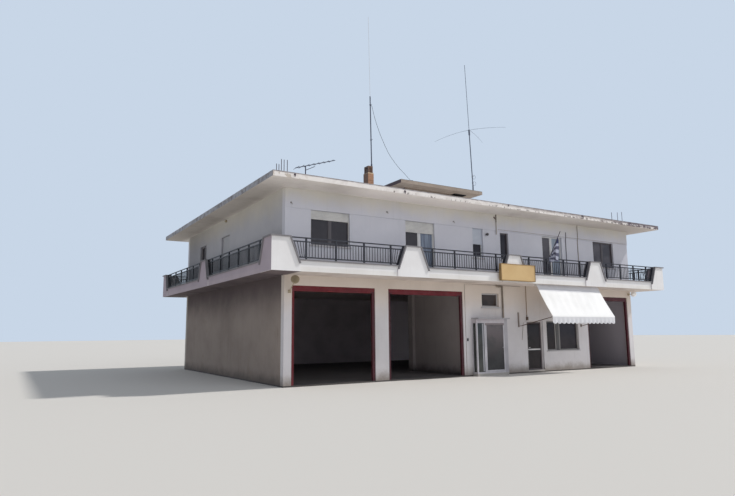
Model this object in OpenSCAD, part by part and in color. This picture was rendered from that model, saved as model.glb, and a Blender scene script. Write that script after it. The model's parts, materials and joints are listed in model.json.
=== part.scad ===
// Two-storey fire station: three vehicle bays and an office below, rooms behind a balcony above.
// Millimetres. The origin is the middle of the walls' footprint on the ground, +Z is up,
// the front faces -Y and +X runs along the front from the first bay to the third.

/* [Ground plan] */
// Depth over the outer faces of the front and back walls
wall_d = 13250; // [12500:50:15000]
// Thickness of the outer walls
wall_t = 250; // [220:10:320]
// Thickness of the slab that the walls stand on
floor_t = 50; // [30:5:80]

/* [Storeys] */
// Height of the balcony's underside above the ground
storey_z = 3900; // [3850:10:4100]
// Thickness of the upper floor and balcony slab
slab_t = 160; // [130:10:200]
// Clear height of the upper storey
upper_h = 3010; // [2900:10:3200]
// Thickness of the roof slab
roof_t = 200; // [160:10:300]
// Reach of the balcony and roof in front of the front wall
reach_front = 1280; // [1150:10:1400]
// Reach of the balcony and roof beyond the left wall
reach_left = 1000; // [900:10:1150]
// Reach of the balcony and roof beyond the right wall
reach_right = 930; // [850:10:1150]
// Reach of the balcony and roof behind the back wall
reach_back = 1100; // [1000:10:1250]

/* [Vehicle bays] */
// Width of the pier between the left corner and the first bay
corner_pier_w = 300; // [260:10:340]
// Width of the first bay's opening
bay_1_w = 3480; // [3300:10:3600]
// Width of the pillar between the first two bays
pillar_w = 610; // [500:10:700]
// Width of the second bay's opening
bay_2_w = 3780; // [3650:10:3850]
// Width of the wall between the office window and the third bay
office_pier_w = 720; // [600:10:800]
// Width of the third bay's opening
bay_3_w = 3240; // [3000:10:3260]
// Width of the pier between the third bay and the right corner
end_pier_w = 330; // [280:10:400]
// Height of the bay openings above the ground
bay_head = 3540; // [3400:10:3600]
// Width of the steel frame round each bay
bay_frame_w = 110; // [80:5:160]
// Height of the steel beam across the top of each bay
bay_header_h = 200; // [120:10:240]
// Depth of the steel frame round each bay
bay_frame_d = 100; // [80:5:140]
// Set-back of the bay frames from the wall's face
bay_frame_back = 40; // [20:5:80]
// Length of the wall stub beside the second bay, from the front wall inwards
stub_l = 3300; // [2500:50:4500]
// Thickness of the wall stub
stub_t = 200; // [150:10:240]
// Side of the column at the stub's end
column_side = 350; // [300:10:400]
// Distance of the stub to the right of the second bay
stub_shift = 70; // [40:5:120]

/* [Office openings] */
// Distance from the office wall's left end to the entrance opening
entrance_x = 580; // [540:10:620]
// Width of the entrance opening
entrance_w = 1580; // [1560:10:1600]
// Distance from the office wall's left end to the high window
high_window_x = 1080; // [1050:10:1120]
// Width of the high window
high_window_w = 1000; // [900:10:1080]
// Height of the high window's sill above the ground
high_window_sill = 2910; // [2850:10:2950]
// Height of the high window's opening
high_window_h = 600; // [500:10:650]
// Distance from the office wall's left end to the office door's opening
office_door_x = 3750; // [3700:10:3780]
// Width of the office door's opening
office_door_w = 1050; // [1000:10:1080]
// Distance from the office wall's left end to the office window
office_window_x = 5040; // [5000:10:5080]
// Width of the office window
office_window_w = 2230; // [2100:10:2300]
// Place of the office window's mullion as a share of its width
office_mullion = 0.37; // [0.3:0.01:0.5]
// Width of that double mullion
office_mullion_w = 160; // [120:10:200]
// Height of the office window's sill above the ground
office_sill = 950; // [900:10:1050]
// Height of the office door's and window's heads above the ground
office_head = 2320; // [2260:10:2380]
// Height of the steps at both doors above the ground
step_h = 110; // [90:5:150]

/* [Glazed entrance] */
// Distance from the office wall's left end to the glazed entrance
porch_x = 450; // [400:10:480]
// Reach of the glazed entrance in front of the wall
porch_d = 300; // [250:10:400]
// Width of the glazed entrance
porch_w = 1780; // [1770:10:1800]
// Height of the entrance frame above the ground
porch_head = 2380; // [2350:10:2450]
// Height of the white board over the door
fascia_h = 170; // [120:10:200]
// Width of the fixed glass left of the door
side_light_w = 370; // [320:10:400]
// Width of the closed panel right of the door
side_panel_w = 180; // [160:10:200]
// Reach of the canopy in front of the wall
canopy_d = 450; // [420:10:550]
// Overhang of the canopy to the left of the entrance frame
canopy_left = 10; // [5:5:80]
// Overhang of the canopy to the right of the entrance frame
canopy_right = 30; // [10:10:120]
// Thickness of the canopy
canopy_t = 50; // [40:5:80]

/* [Upper openings] */
// Height of the upper windows' sills above the ground
upper_sill = 5050; // [4950:10:5150]
// Height of the upper windows' and doors' heads above the ground
upper_head = 6350; // [6250:10:6400]
// Height of the heads of the narrow window and the side openings
narrow_head = 6270; // [6200:10:6300]
// Distance from the left corner to the first window
window_1_x = 1030; // [900:10:1300]
// Width of the first window
window_1_w = 1640; // [1400:10:1800]
// Distance from the left corner to the first balcony door
door_1_x = 5270; // [4900:10:5500]
// Width of the first balcony door
door_1_w = 1480; // [1300:10:1700]
// Distance from the left corner to the small window
small_1_x = 8850; // [8700:10:8950]
// Width of the small window
small_1_w = 600; // [500:10:700]
// Distance from the left corner to the narrow window
small_2_x = 10490; // [10200:10:10600]
// Width of the narrow window
small_2_w = 510; // [450:10:650]
// Distance from the left corner to the second balcony door
door_2_x = 13220; // [13000:10:13400]
// Width of the second balcony door
door_2_w = 1370; // [1200:10:1600]
// Distance from the left corner to the last window
window_2_x = 16930; // [16750:10:17050]
// Width of the last window
window_2_w = 1610; // [1400:10:1800]
// Distance from the back of a side wall to its window
side_window_y = 2420; // [2200:10:2600]
// Width of a side window
side_window_w = 1050; // [900:10:1200]
// Distance from the back of a side wall to its balcony door
side_door_y = 5920; // [5700:10:6200]
// Width of a side balcony door
side_door_w = 1160; // [1000:10:1300]
// Width of each window in the back wall
back_window_w = 1400; // [1200:10:1600]
// Thickness by which the wall above the front windows stands proud
band_t = 25; // [10:5:40]

/* [Window units] */
// Width of a window's or door's frame bars
frame_w = 60; // [50:5:70]
// Depth of a window's or door's frame bars
frame_d = 60; // [50:5:70]
// Set-back of the frames from the wall's face
frame_back = 90; // [80:5:120]
// Thickness of the glass
glass_t = 8; // [4:1:12]
// Widest opening that has no mullion
one_sash_w = 1250; // [1200:10:1300]
// Thickness of a lowered roller shutter
shutter_t = 20; // [15:1:25]
// Drop of the shutters that are almost open
shutter_drop = 330; // [200:10:400]
// Drop of the shutter at the first balcony door
shutter_door = 460; // [200:10:600]
// Drop of the shutter at the small window
shutter_low = 700; // [500:10:900]
// Thickness of the window sills
sill_t = 50; // [30:5:70]
// Reach of the window sills in front of the wall
sill_reach = 50; // [30:5:80]

/* [Doors that open] */
// Thickness of both door leaves
leaf_t = 45; // [40:1:50]
// Width of the bars round the glass of both door leaves
leaf_bar = 60; // [50:5:90]
// Radius of the door hinges' knuckles
knuckle_r = 8; // [6:1:10]
// Height of each hinge knuckle
knuckle_h = 55; // [40:5:70]
// Gap round a door leaf
leaf_gap = 7; // [6:1:8]
// Height of the office door's middle bar above the ground
mid_bar_z = 1020; // [950:10:1100]
// Length of a door handle's grip
grip_l = 130; // [100:5:160]
// Height of the lower hinge above the sill
hinge_low = 180; // [120:10:250]
// Depth of the upper hinge below the leaf's top
hinge_high = 300; // [250:10:350]

/* [Parapet] */
// Height of the low parapet's top above the ground
low_top = 4310; // [4280:5:4350]
// Thickness of the parapet
parapet_t = 150; // [120:5:180]
// Thickness of the coping along the parapet and round the towers
coping_t = 45; // [35:5:55]
// Reach of the coping on each side
coping_reach = 50; // [30:5:60]
// Height of the towers' tops above the ground
tower_top = 5080; // [5000:10:5150]
// Height above the ground at which a tower's sides start to slope
tower_knee = 4165; // [4140:5:4200]
// Width of a middle tower at its top
tower_w = 730; // [650:10:850]
// Width of a corner tower at its top
corner_w = 660; // [600:10:750]
// Distance that each sloping side spreads from top to foot
tower_slope = 365; // [300:5:400]
// Thickness by which the towers stand proud of the parapet
tower_proud = 25; // [15:5:40]
// Distance between the middles of the front towers
tower_pitch = 5290; // [5200:10:5350]
// Distance of the middle front tower to the right of the front's middle
tower_shift = 125; // [0:5:150]

/* [Railings] */
// Height of the hand rail's top above the ground
rail_top = 5075; // [5000:5:5100]
// Height of the second rail's top above the ground
rail_mid = 4945; // [4900:5:4980]
// Height of the bottom rail's top above the ground
rail_low = 4410; // [4390:5:4450]
// Side of the railing's square posts
post_side = 55; // [45:5:65]
// Height of each rail
rail_h = 40; // [30:5:45]
// Depth of each rail
rail_d = 40; // [30:5:45]
// Side of the square balusters
baluster_side = 18; // [14:1:24]
// Spacing of the balusters
baluster_pitch = 120; // [100:5:160]
// Width of the sloping post at each end of a railing
end_post_w = 50; // [40:5:60]
// Distance from a tower's top to the nearest post
post_inset = 610; // [500:10:700]
// Number of posts in a front or back bay
front_posts = 4; // [3:1:5]
// Number of posts in a side bay
side_posts = 6; // [5:1:7]

/* [Awning] */
// Distance from the office wall's left end to the awning
awning_x = 3330; // [3200:10:3400]
// Width of the awning
awning_w = 4170; // [4000:10:4300]
// Distance of the awning's head box in front of the wall
awning_head_y = 950; // [850:10:1000]
// Width of the head box's section
awning_head_w = 110; // [90:5:130]
// Height of the head box's section
awning_head_h = 75; // [60:5:90]
// Distance of the front bar in front of the wall
awning_reach = 1880; // [1700:10:2000]
// Height of the front bar's top above the ground
awning_bar_z = 2465; // [2400:10:2600]
// Side of the front bar's section
awning_bar = 40; // [30:5:50]
// Drop of the valance below the front bar's top
valance_h = 310; // [200:10:350]
// Thickness of the fabric
fabric_t = 10; // [6:1:14]
// Height above the ground at which the awning's arms meet the wall
arm_z = 2090; // [2000:10:2200]
// Thickness of the awning's arms
arm_t = 28; // [20:2:36]
// Height of the rail that holds each arm on the wall
arm_rail_h = 660; // [500:10:750]
// Width of that rail
arm_rail_w = 60; // [50:5:70]
// Depth of that rail
arm_rail_d = 40; // [30:5:50]
// Distance of the left rail beyond the awning's end
arm_rail_out = 130; // [100:10:160]

/* [Sign box] */
// Distance from the left corner to the sign box
sign_x = 9020; // [8900:10:9100]
// Width of the sign box
sign_w = 2000; // [1800:10:2200]
// Height of the sign box
sign_h = 710; // [600:10:850]
// Depth of the sign box
sign_d = 120; // [90:5:160]
// Height of the sign box's underside above the ground
sign_z = 3940; // [3910:5:3980]

/* [Flag] */
// Length of the flagpole
pole_l = 1500; // [1300:10:1700]
// Slope of the flagpole above the level
pole_angle = 58; // [45:1:70]
// Radius of the flagpole
pole_r = 15; // [12:1:20]
// Length of bare pole above the flag
flag_drop = 250; // [150:10:350]
// Fall of the flag along the pole
flag_w = 900; // [800:10:1000]
// Length of the hanging flag
flag_h = 1080; // [950:10:1200]
// Thickness of the hanging flag's folds
flag_t = 200; // [100:10:240]

/* [Roof] */
// Distance from the left corner to the chimney
chimney_x = 4440; // [4300:10:4600]
// Distance from the front wall to the chimney
chimney_y = 1500; // [1200:10:1800]
// Width of the chimney
chimney_w = 280; // [220:10:320]
// Depth of the chimney
chimney_d = 380; // [320:10:450]
// Height of the chimney's shaft
chimney_h = 1350; // [1000:10:1500]
// Height of the chimney's cap
chimney_cap_h = 300; // [200:10:400]
// Thickness of the plate on top of the chimney's cap
cap_t = 80; // [60:5:100]
// Side of the corner posts under that plate
cap_post = 60; // [50:5:70]
// Set-back of the dark core behind those posts
cap_core = 25; // [20:5:40]
// Set-back of the cap from the shaft's faces
cap_back = 25; // [20:5:40]
// Distance from the left corner to the stair head's slab
head_x = 7970; // [7800:10:8100]
// Distance from the front wall to the stair head's slab
head_y = 4100; // [3900:10:4300]
// Length of the stair head's slab
head_l = 5380; // [5100:10:5600]
// Depth of the stair head's slab
head_d = 3600; // [3000:10:4300]
// Height of the stair head's slab's top above the roof
head_h = 2140; // [1900:10:2200]
// Thickness of the stair head's slab
head_t = 180; // [140:10:220]
// Overhang of the stair head's slab
head_reach = 750; // [600:10:900]
// Thickness of the stair head's walls
head_wall_t = 200; // [150:10:250]
// Length of the mast on the chimney
mast_1_l = 3150; // [2800:50:3500]
// Length of the whip on that mast
whip_l = 3700; // [3000:50:4200]
// Radius of both masts
mast_r = 25; // [20:1:30]
// Radius of the masts' feet
mast_foot_r = 35; // [31:1:40]
// Distance from the left corner to the mast on the stair head
mast_2_x = 12790; // [12500:10:12900]
// Length of the mast on the stair head
mast_2_l = 7150; // [6200:50:7500]
// Height of the right mast's fitting above its foot
mast_fitting_z = 3270; // [3000:10:3700]
// Radius of the cable
cable_r = 8; // [6:1:12]
// Lean of the mast on the chimney to the left, in degrees
mast_1_lean = 0.8; // [0:0.1:2]
// Lean of the mast on the stair head to the left, in degrees
mast_2_lean = 2.5; // [0:0.1:3]
// Distance from the left corner to the television aerial's mast
antenna_x = 570; // [450:5:650]
// Distance from the front wall to that mast
antenna_y = 480; // [400:10:560]
// Height of the aerial's long boom at its left end
boom_z = 420; // [380:10:460]
// Length of the long boom
boom_l = 1690; // [1500:10:1800]
// Rise of the long boom, in degrees
boom_tilt = 18; // [10:1:25]
// Length of the middle rod across the long boom
rod_l = 500; // [400:10:600]
// Height of the taller starter bars above the roof
starter_h = 560; // [400:10:600]
// Radius of the starter bars
starter_r = 12; // [8:1:16]
// Distance between neighbouring starter bars
starter_pitch = 100; // [80:5:120]

/* [Lamps and pipes] */
// Distance from the left corner to the dish lamp
dish_x = 200; // [170:5:230]
// Height of the dish lamp's middle above the ground
dish_z = 3690; // [3600:10:3740]
// Distance of the dish lamp in front of the wall
dish_y = 480; // [420:10:540]
// Radius of the dish lamp
dish_r = 150; // [120:5:180]
// Angle that the dish lamp looks down
dish_tilt = 20; // [0:5:40]
// Distance from the right corner to the globe lamp
globe_x = 180; // [120:5:240]
// Height of the globe lamp above the ground
globe_z = 3720; // [3650:10:3740]
// Distance of the globe lamp in front of the wall
globe_y = 320; // [260:10:380]
// Radius of the globe lamp
globe_r = 140; // [110:5:150]
// Distance from the left corner to the bell on the upper wall
bell_x = 9650; // [9600:10:9750]
// Height of the bell above the ground
bell_z = 6120; // [6000:10:6200]
// Radius of the bell
bell_r = 65; // [50:5:80]
// Distance from the left corner to the drain pipe
drain_x = 10440; // [10380:5:10500]
// Distance by which the drain pipe's head lies to the left
drain_run = 330; // [280:10:380]
// Height of the drain pipe's level run above the ground
drain_z = 3820; // [3780:5:3840]
// Radius of the drain pipe
drain_r = 35; // [28:1:40]
// Distance from the left corner to the conduit
conduit_x = 11940; // [11930:5:12000]
// Height of the switch box's underside above the ground
switch_z = 2350; // [2340:10:2450]
// Width of the switch box
switch_w = 90; // [70:5:110]
// Height of the switch box
switch_h = 150; // [100:10:180]
// Distance from the left corner to the bent pipe on the upper wall
riser_x = 10240; // [10150:10:10300]
// Height of that pipe's foot above the ground
riser_z = 6180; // [6100:10:6250]
// Radius of that pipe
riser_r = 22; // [18:1:28]

/* [Hidden] */

seat_gap = 0.3;
upper_z = storey_z + slab_t;
roof_z = upper_z + upper_h;
roof_top = roof_z + roof_t;
side_l = wall_d - 2 * wall_t;

bay_1_x = corner_pier_w;
bay_2_x = bay_1_x + bay_1_w + pillar_w;
office_x = bay_2_x + bay_2_w;
office_l = office_window_x + office_window_w + office_pier_w;
bay_3_x = office_x + office_l;
bay_3_end = bay_3_x + bay_3_w;
wall_l = bay_3_end + end_pier_w;
BAYS = [[bay_1_x, bay_1_w], [bay_2_x, bay_2_w], [bay_3_x, bay_3_w]];

entrance_l = office_x + entrance_x;
high_window_l = office_x + high_window_x;
office_door_l = office_x + office_door_x;
office_window_l = office_x + office_window_x;
porch_l = office_x + porch_x;
porch_r = porch_l + porch_w;
door_post_l = porch_l + frame_w + side_light_w;
porch_leaf_l = door_post_l + frame_w;
porch_leaf_r = porch_r - side_panel_w;
porch_leaf_head = porch_head - fascia_h;
porch_sill = step_h + frame_w;

// Each opening is [distance along its wall, width, sill height, head height, shutter drop], and
// for a mullion that isn't in the middle, its place as a share of the width and its own width.
FRONT_OPENINGS = [
    [window_1_x, window_1_w, upper_sill, upper_head, shutter_drop],
    [door_1_x, door_1_w, upper_z, upper_head, shutter_door],
    [small_1_x, small_1_w, upper_sill, upper_head, shutter_low],
    [small_2_x, small_2_w, upper_sill, narrow_head, 0],
    [door_2_x, door_2_w, upper_z, upper_head, 0],
    [window_2_x, window_2_w, upper_sill, upper_head, 0]];
SIDE_OPENINGS = [
    [side_window_y, side_window_w, upper_sill, narrow_head, 0],
    [side_door_y, side_door_w, upper_z, narrow_head, narrow_head - upper_z]];
back_pitch = wall_l / 5;
BACK_OPENINGS = [for (i = [0:3]) [back_pitch * (i + 1) - back_window_w / 2, back_window_w,
    upper_sill, upper_head, shutter_drop]];
OFFICE_OPENINGS = [
    [high_window_l, high_window_w, high_window_sill, high_window_sill + high_window_h, 0],
    [office_window_l, office_window_w, office_sill, office_head, 0, office_mullion,
        office_mullion_w]];

front_tower_mid = wall_l / 2 + tower_shift;
FRONT_TOWERS = [for (i = [-1:1]) front_tower_mid + i * tower_pitch];
BACK_TOWERS = [for (i = [-1:1]) wall_l - front_tower_mid + i * tower_pitch];
tower_foot_w = tower_w + 2 * tower_slope;
corner_foot_w = corner_w + tower_slope;

// Draws in the frame of the left front corner, from which the front is measured.
module from_corner() {
    translate([-wall_l / 2, -wall_d / 2, 0]) children();
}

// Draws a wall's things as if it were the front wall: along X, outwards along -Y.
module on_left() {
    translate([0, wall_d, 0]) rotate(-90) children();
}

module on_right() {
    translate([wall_l, wall_d, 0]) mirror([1, 0, 0]) rotate(-90) children();
}

module on_back() {
    translate([wall_l, wall_d, 0]) rotate(180) children();
}

module block(x, y, z) {
    translate([x[0], y[0], z[0]]) cube([x[1] - x[0], y[1] - y[0], z[1] - z[0]]);
}

module cut_openings(openings) {
    for (o = openings)
        block([o[0], o[0] + o[1]], [-1, wall_t + 1], [o[2], o[3]]);
}

// A wall from x0 to x1 with openings, its outer face on y = 0.
module wall(x0, x1, z0, z1, openings) {
    difference() {
        block([x0, x1], [0, wall_t], [z0, z1]);
        cut_openings(openings);
    }
}

module floor_slab() {
    color("#8f8c86") from_corner() block([0, wall_l], [0, wall_d], [0, floor_t]);
}

module pier(x0, x1) {
    block([x0, x1], [0, wall_t], [floor_t, storey_z]);
}

module front_piers() {
    color("#d6cfc2") from_corner() {
        pier(0, bay_1_x);
        pier(bay_1_x + bay_1_w, bay_2_x);
        pier(office_x, entrance_l);
        pier(entrance_l + entrance_w, office_door_l);
        pier(office_door_l + office_door_w, office_window_l);
        pier(office_window_l + office_window_w, bay_3_x);
        pier(bay_3_end, wall_l);
    }
}

module front_lintels() {
    color("#d6cfc2") from_corner() {
        for (b = BAYS)
            block([b[0], b[0] + b[1]], [0, wall_t], [bay_head, storey_z]);
        wall(entrance_l, entrance_l + entrance_w, porch_head, storey_z, OFFICE_OPENINGS);
        block([office_door_l, office_door_l + office_door_w], [0, wall_t], [office_head, storey_z]);
        block([office_window_l, office_window_l + office_window_w], [0, wall_t],
            [office_head, storey_z]);
    }
}

module office_apron() {
    color("#d6cfc2") from_corner()
        block([office_window_l, office_window_l + office_window_w], [0, wall_t],
            [floor_t, office_sill]);
}

module lower_left_wall() {
    color("#bdb8ae") from_corner() on_left()
        wall(wall_t, wall_t + side_l, floor_t, storey_z, []);
}

module lower_right_wall() {
    color("#bdb8ae") from_corner() on_right()
        wall(wall_t, wall_t + side_l, floor_t, storey_z, []);
}

module lower_back_wall() {
    color("#bdb8ae") from_corner() on_back()
        wall(0, wall_l, floor_t, storey_z, []);
}

stub_x = office_x + stub_shift;

// The wall stub and its end column, seen through the second bay.
module bay_wall_stub() {
    color("#a9a6a0") from_corner() {
        block([stub_x, stub_x + stub_t], [wall_t, wall_t + stub_l], [floor_t, storey_z]);
        block([stub_x + stub_t - column_side, stub_x + stub_t],
            [wall_t + stub_l, wall_t + stub_l + column_side], [floor_t, storey_z]);
    }
}

module upper_floor() {
    color("#d9d3c8") from_corner()
        block([-reach_left, wall_l + reach_right], [-reach_front, wall_d + reach_back],
            [storey_z, upper_z]);
}

module upper_front_wall() {
    color("#c9c9cb") from_corner() {
        wall(0, wall_l, upper_z, roof_z, FRONT_OPENINGS);
        block([0, wall_l], [-band_t, 0], [upper_head, roof_z]);
    }
}

module upper_left_wall() {
    color("#c9c9cb") from_corner() on_left()
        wall(wall_t, wall_t + side_l, upper_z, roof_z, SIDE_OPENINGS);
}

module upper_right_wall() {
    color("#c9c9cb") from_corner() on_right()
        wall(wall_t, wall_t + side_l, upper_z, roof_z, SIDE_OPENINGS);
}

module upper_back_wall() {
    color("#c9c9cb") from_corner() on_back()
        wall(0, wall_l, upper_z, roof_z, BACK_OPENINGS);
}

module roof_slab() {
    color("#dcd8cf") from_corner()
        block([-reach_left, wall_l + reach_right], [-reach_front, wall_d + reach_back],
            [roof_z, roof_top]);
}

// Where the balcony's outer faces are, measured like the walls.
module on_balcony_front() {
    translate([0, -reach_front, 0]) children();
}

module on_balcony_left() {
    on_left() translate([0, -reach_left, 0]) children();
}

module on_balcony_right() {
    on_right() translate([0, -reach_right, 0]) children();
}

module on_balcony_back() {
    on_back() translate([0, -reach_back, 0]) children();
}

// Ends of the balcony's sides, along each wall's own x.
front_ends = [-reach_left, wall_l + reach_right];
back_ends = [-reach_right, wall_l + reach_left];
side_ends = [-reach_back, wall_d + reach_front];
side_mid = (side_ends[0] + side_ends[1]) / 2;

// Draws an outline given in x and z as a plate between two distances from the outer face.
module plate(outline, y0, y1) {
    translate([0, y1, 0]) rotate([90, 0, 0]) linear_extrude(y1 - y0) polygon(outline);
}

// A tower's side leans by this much for each millimetre of height.
slope_run = tower_slope / (tower_top - tower_knee);
coping_side = coping_t * sqrt(1 + slope_run * slope_run);
coping_foot = low_top - coping_t;
top_inset = coping_side - coping_t * slope_run;

// How far a tower's side has come in above its knee, at a height.
function lean_at(z) = (z - tower_knee) * slope_run;

// A low parapet between two towers' feet, its outer face on y = 0, inwards along +y.
module low_parapet(x0, x1) {
    lean = lean_at(coping_foot) - seat_gap;
    plate([[x0, upper_z], [x0, tower_knee], [x0 - lean, coping_foot], [x1 + lean, coping_foot],
        [x1, tower_knee], [x1, upper_z]], 0, parapet_t);
}

// The coping on that parapet, which runs into the towers' copings.
module low_coping(x0, x1) {
    run_in = coping_t / 4;
    plate([[x0 - lean_at(coping_foot) - run_in, coping_foot],
        [x0 - lean_at(low_top) - run_in, low_top], [x1 + lean_at(low_top) + run_in, low_top],
        [x1 + lean_at(coping_foot) + run_in, coping_foot]], -coping_reach, parapet_t + coping_reach);
}

// Gaps between the feet of a side's towers.
function spans(ends, mids) = let (n = len(mids)) [for (i = [0:n])
    [i == 0 ? ends[0] + corner_foot_w : mids[i - 1] + tower_foot_w / 2,
     i == n ? ends[1] - corner_foot_w : mids[i] - tower_foot_w / 2]];

module low_parapets(ends, mids) {
    for (s = spans(ends, mids)) low_parapet(s[0], s[1]);
}

module parapet_walls() {
    color("#ece9e4") from_corner() {
        on_balcony_front() low_parapets(front_ends, FRONT_TOWERS);
        on_balcony_left() low_parapets(side_ends, [side_mid]);
        on_balcony_right() low_parapets(side_ends, [side_mid]);
        on_balcony_back() low_parapets(back_ends, BACK_TOWERS);
    }
}

// Outline of a tower above its knee: left and right say which side slopes, d = 1 is inside
// its coping.
function tower_outline(x0, x1, left, right, z0, d) = [
    [x0 - left * (tower_slope - d * coping_side), z0],
    [x0 - left * (tower_slope - d * coping_side), tower_knee],
    [x0 + left * d * top_inset, tower_top - d * coping_t],
    [x1 - right * d * top_inset, tower_top - d * coping_t],
    [x1 + right * (tower_slope - d * coping_side), tower_knee],
    [x1 + right * (tower_slope - d * coping_side), z0]];

// One thickness of a tower's wall: its foot up to the knee and its sloping part.
module tower_wall(x0, x1, left, right, z0, y0, y1) {
    block([x0 - left * tower_slope, x1 + right * tower_slope], [y0, y1], [z0, tower_knee]);
    plate(tower_outline(x0, x1, left, right, tower_knee - 1, 1), y0, y1);
}

// A tower's walls: x0 and x1 are the ends of its top. An end that doesn't slope is a corner of
// the balcony, where the walls meet their neighbours.
module tower(x0, x1, left, right) {
    lap_l = (1 - left) * tower_proud;
    lap_r = (1 - right) * tower_proud;
    tower_wall(x0 - lap_l, x1 + lap_r, left, right, storey_z, -tower_proud, 0);
    tower_wall(x0, x1, left, right, upper_z, 0, parapet_t);
}

tower_reach = tower_proud + coping_reach;

// The coping over a tower's top and down its sloping sides.
module tower_coping(x0, x1, left, right) {
    difference() {
        plate(tower_outline(x0 - (1 - left) * tower_reach, x1 + (1 - right) * tower_reach, left,
            right, tower_knee, 0), -tower_reach, parapet_t + coping_reach);
        plate(tower_outline(x0 - (1 - left) * (tower_reach + 1),
            x1 + (1 - right) * (tower_reach + 1), left, right, tower_knee - 1, 1),
            -tower_reach - 1, parapet_t + coping_reach + 1);
    }
}

module middle_towers() {
    color("#f1efeb") from_corner() {
        on_balcony_front() for (m = FRONT_TOWERS) tower(m - tower_w / 2, m + tower_w / 2, 1, 1);
        on_balcony_back() for (m = BACK_TOWERS) tower(m - tower_w / 2, m + tower_w / 2, 1, 1);
        on_balcony_left() tower(side_mid - tower_w / 2, side_mid + tower_w / 2, 1, 1);
        on_balcony_right() tower(side_mid - tower_w / 2, side_mid + tower_w / 2, 1, 1);
    }
}

module corner_pair(ends) {
    tower(ends[0], ends[0] + corner_w, 0, 1);
    tower(ends[1] - corner_w, ends[1], 1, 0);
}

module corner_towers() {
    color("#f1efeb") from_corner() {
        on_balcony_front() corner_pair(front_ends);
        on_balcony_back() corner_pair(back_ends);
        on_balcony_left() corner_pair(side_ends);
        on_balcony_right() corner_pair(side_ends);
    }
}

module side_coping(ends, mids) {
    for (s = spans(ends, mids)) low_coping(s[0], s[1]);
    for (m = mids) tower_coping(m - tower_w / 2, m + tower_w / 2, 1, 1);
    tower_coping(ends[0], ends[0] + corner_w, 0, 1);
    tower_coping(ends[1] - corner_w, ends[1], 1, 0);
}

module parapet_coping() {
    color("#b9b8b4") from_corner() {
        on_balcony_front() side_coping(front_ends, FRONT_TOWERS);
        on_balcony_left() side_coping(side_ends, [side_mid]);
        on_balcony_right() side_coping(side_ends, [side_mid]);
        on_balcony_back() side_coping(back_ends, BACK_TOWERS);
    }
}

function run_at(z) = (tower_top - z) * slope_run;

module rail(x0, x1, top) {
    lean = run_at(top - rail_h) + end_post_w / 2;
    block([x0 + lean, x1 - lean],
        [(parapet_t - rail_d) / 2, (parapet_t + rail_d) / 2], [top - rail_h, top]);
}

module upright(x, side, z1) {
    block([x - side / 2, x + side / 2], [(parapet_t - side) / 2, (parapet_t + side) / 2],
        [low_top, z1]);
}

module baluster(x) {
    block([x - baluster_side / 2, x + baluster_side / 2],
        [(parapet_t - baluster_side) / 2, (parapet_t + baluster_side) / 2],
        [rail_low - rail_h / 2, rail_mid - rail_h / 2]);
}

// A baluster whose foot stands at x_low and whose head is at x_high.
module slanted_baluster(x_low, x_high, side) {
    rise = rail_mid - rail_low;
    lean = atan((x_high - x_low) / rise);
    translate([x_low, parapet_t / 2, rail_low - rail_h / 2]) rotate([0, lean, 0])
        translate([-side / 2, -side / 2, 0]) cube([side, side, rise / cos(lean)]);
}

// The thick post along a tower's slope: x is the end of the tower's top, dir points away.
module end_post(x, dir) {
    foot = x + dir * (run_at(low_top) + seat_gap);
    head = x + dir * (run_at(rail_top) + seat_gap);
    plate([[foot, low_top], [head, rail_top], [head + dir * end_post_w, rail_top],
        [foot + dir * end_post_w, low_top]], (parapet_t - post_side) / 2, (parapet_t + post_side) / 2);
}

// A railing between two towers whose tops end at x0 and start at x1.
module railing_bay(x0, x1, posts) {
    end_post(x0, 1);
    end_post(x1, -1);
    first = x0 + post_inset;
    span = (x1 - x0 - 2 * post_inset) / (posts - 1);
    steps = max(2, round(span / baluster_pitch));
    fan = max(2, round(post_inset / baluster_pitch));
    for (top = [rail_mid, rail_low]) rail(x0, x1, top);
    rail(x0, x1, rail_top);
    for (i = [0:posts - 1]) upright(first + i * span, post_side, rail_top - rail_h / 2);
    for (i = [0:posts - 2], j = [1:steps - 1]) baluster(first + (i + j / steps) * span);
    for (j = [1:fan - 1]) {
        low = j / fan * (post_inset - run_at(rail_low)) + run_at(rail_low);
        high = j / fan * (post_inset - run_at(rail_mid)) + run_at(rail_mid);
        slanted_baluster(x0 + low, x0 + high, baluster_side);
        slanted_baluster(x1 - low, x1 - high, baluster_side);
    }
}

function tops(ends, mids) = let (n = len(mids)) [for (i = [0:n])
    [i == 0 ? ends[0] + corner_w : mids[i - 1] + tower_w / 2,
     i == n ? ends[1] - corner_w : mids[i] - tower_w / 2]];

module railings(ends, mids, posts) {
    for (t = tops(ends, mids)) railing_bay(t[0], t[1], posts);
}

module front_railings() {
    color("#23263a") from_corner() on_balcony_front()
        railings(front_ends, FRONT_TOWERS, front_posts);
}

module side_railings() {
    color("#23263a") from_corner() {
        on_balcony_left() railings(side_ends, [side_mid], side_posts);
        on_balcony_right() railings(side_ends, [side_mid], side_posts);
    }
}

module back_railings() {
    color("#23263a") from_corner() on_balcony_back()
        railings(back_ends, BACK_TOWERS, front_posts);
}

// The near and far side of an opening's mullion.
function mullion(o) = let (mid = o[0] + o[1] * (len(o) > 5 ? o[5] : 0.5),
    half = (len(o) > 5 ? o[6] : frame_w) / 2) [mid - half, mid + half];

// The frame of an opening with a mullion where it is wide.
module opening_frame(o) {
    y = [frame_back, frame_back + frame_d];
    difference() {
        block([o[0], o[0] + o[1]], y, [o[2], o[3]]);
        block([o[0] + frame_w, o[0] + o[1] - frame_w], [y[0] - 1, y[1] + 1],
            [o[2] + frame_w, o[3] - frame_w]);
    }
    if (o[1] > one_sash_w) block(mullion(o), y, [o[2] + frame_w, o[3] - frame_w]);
}

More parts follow.
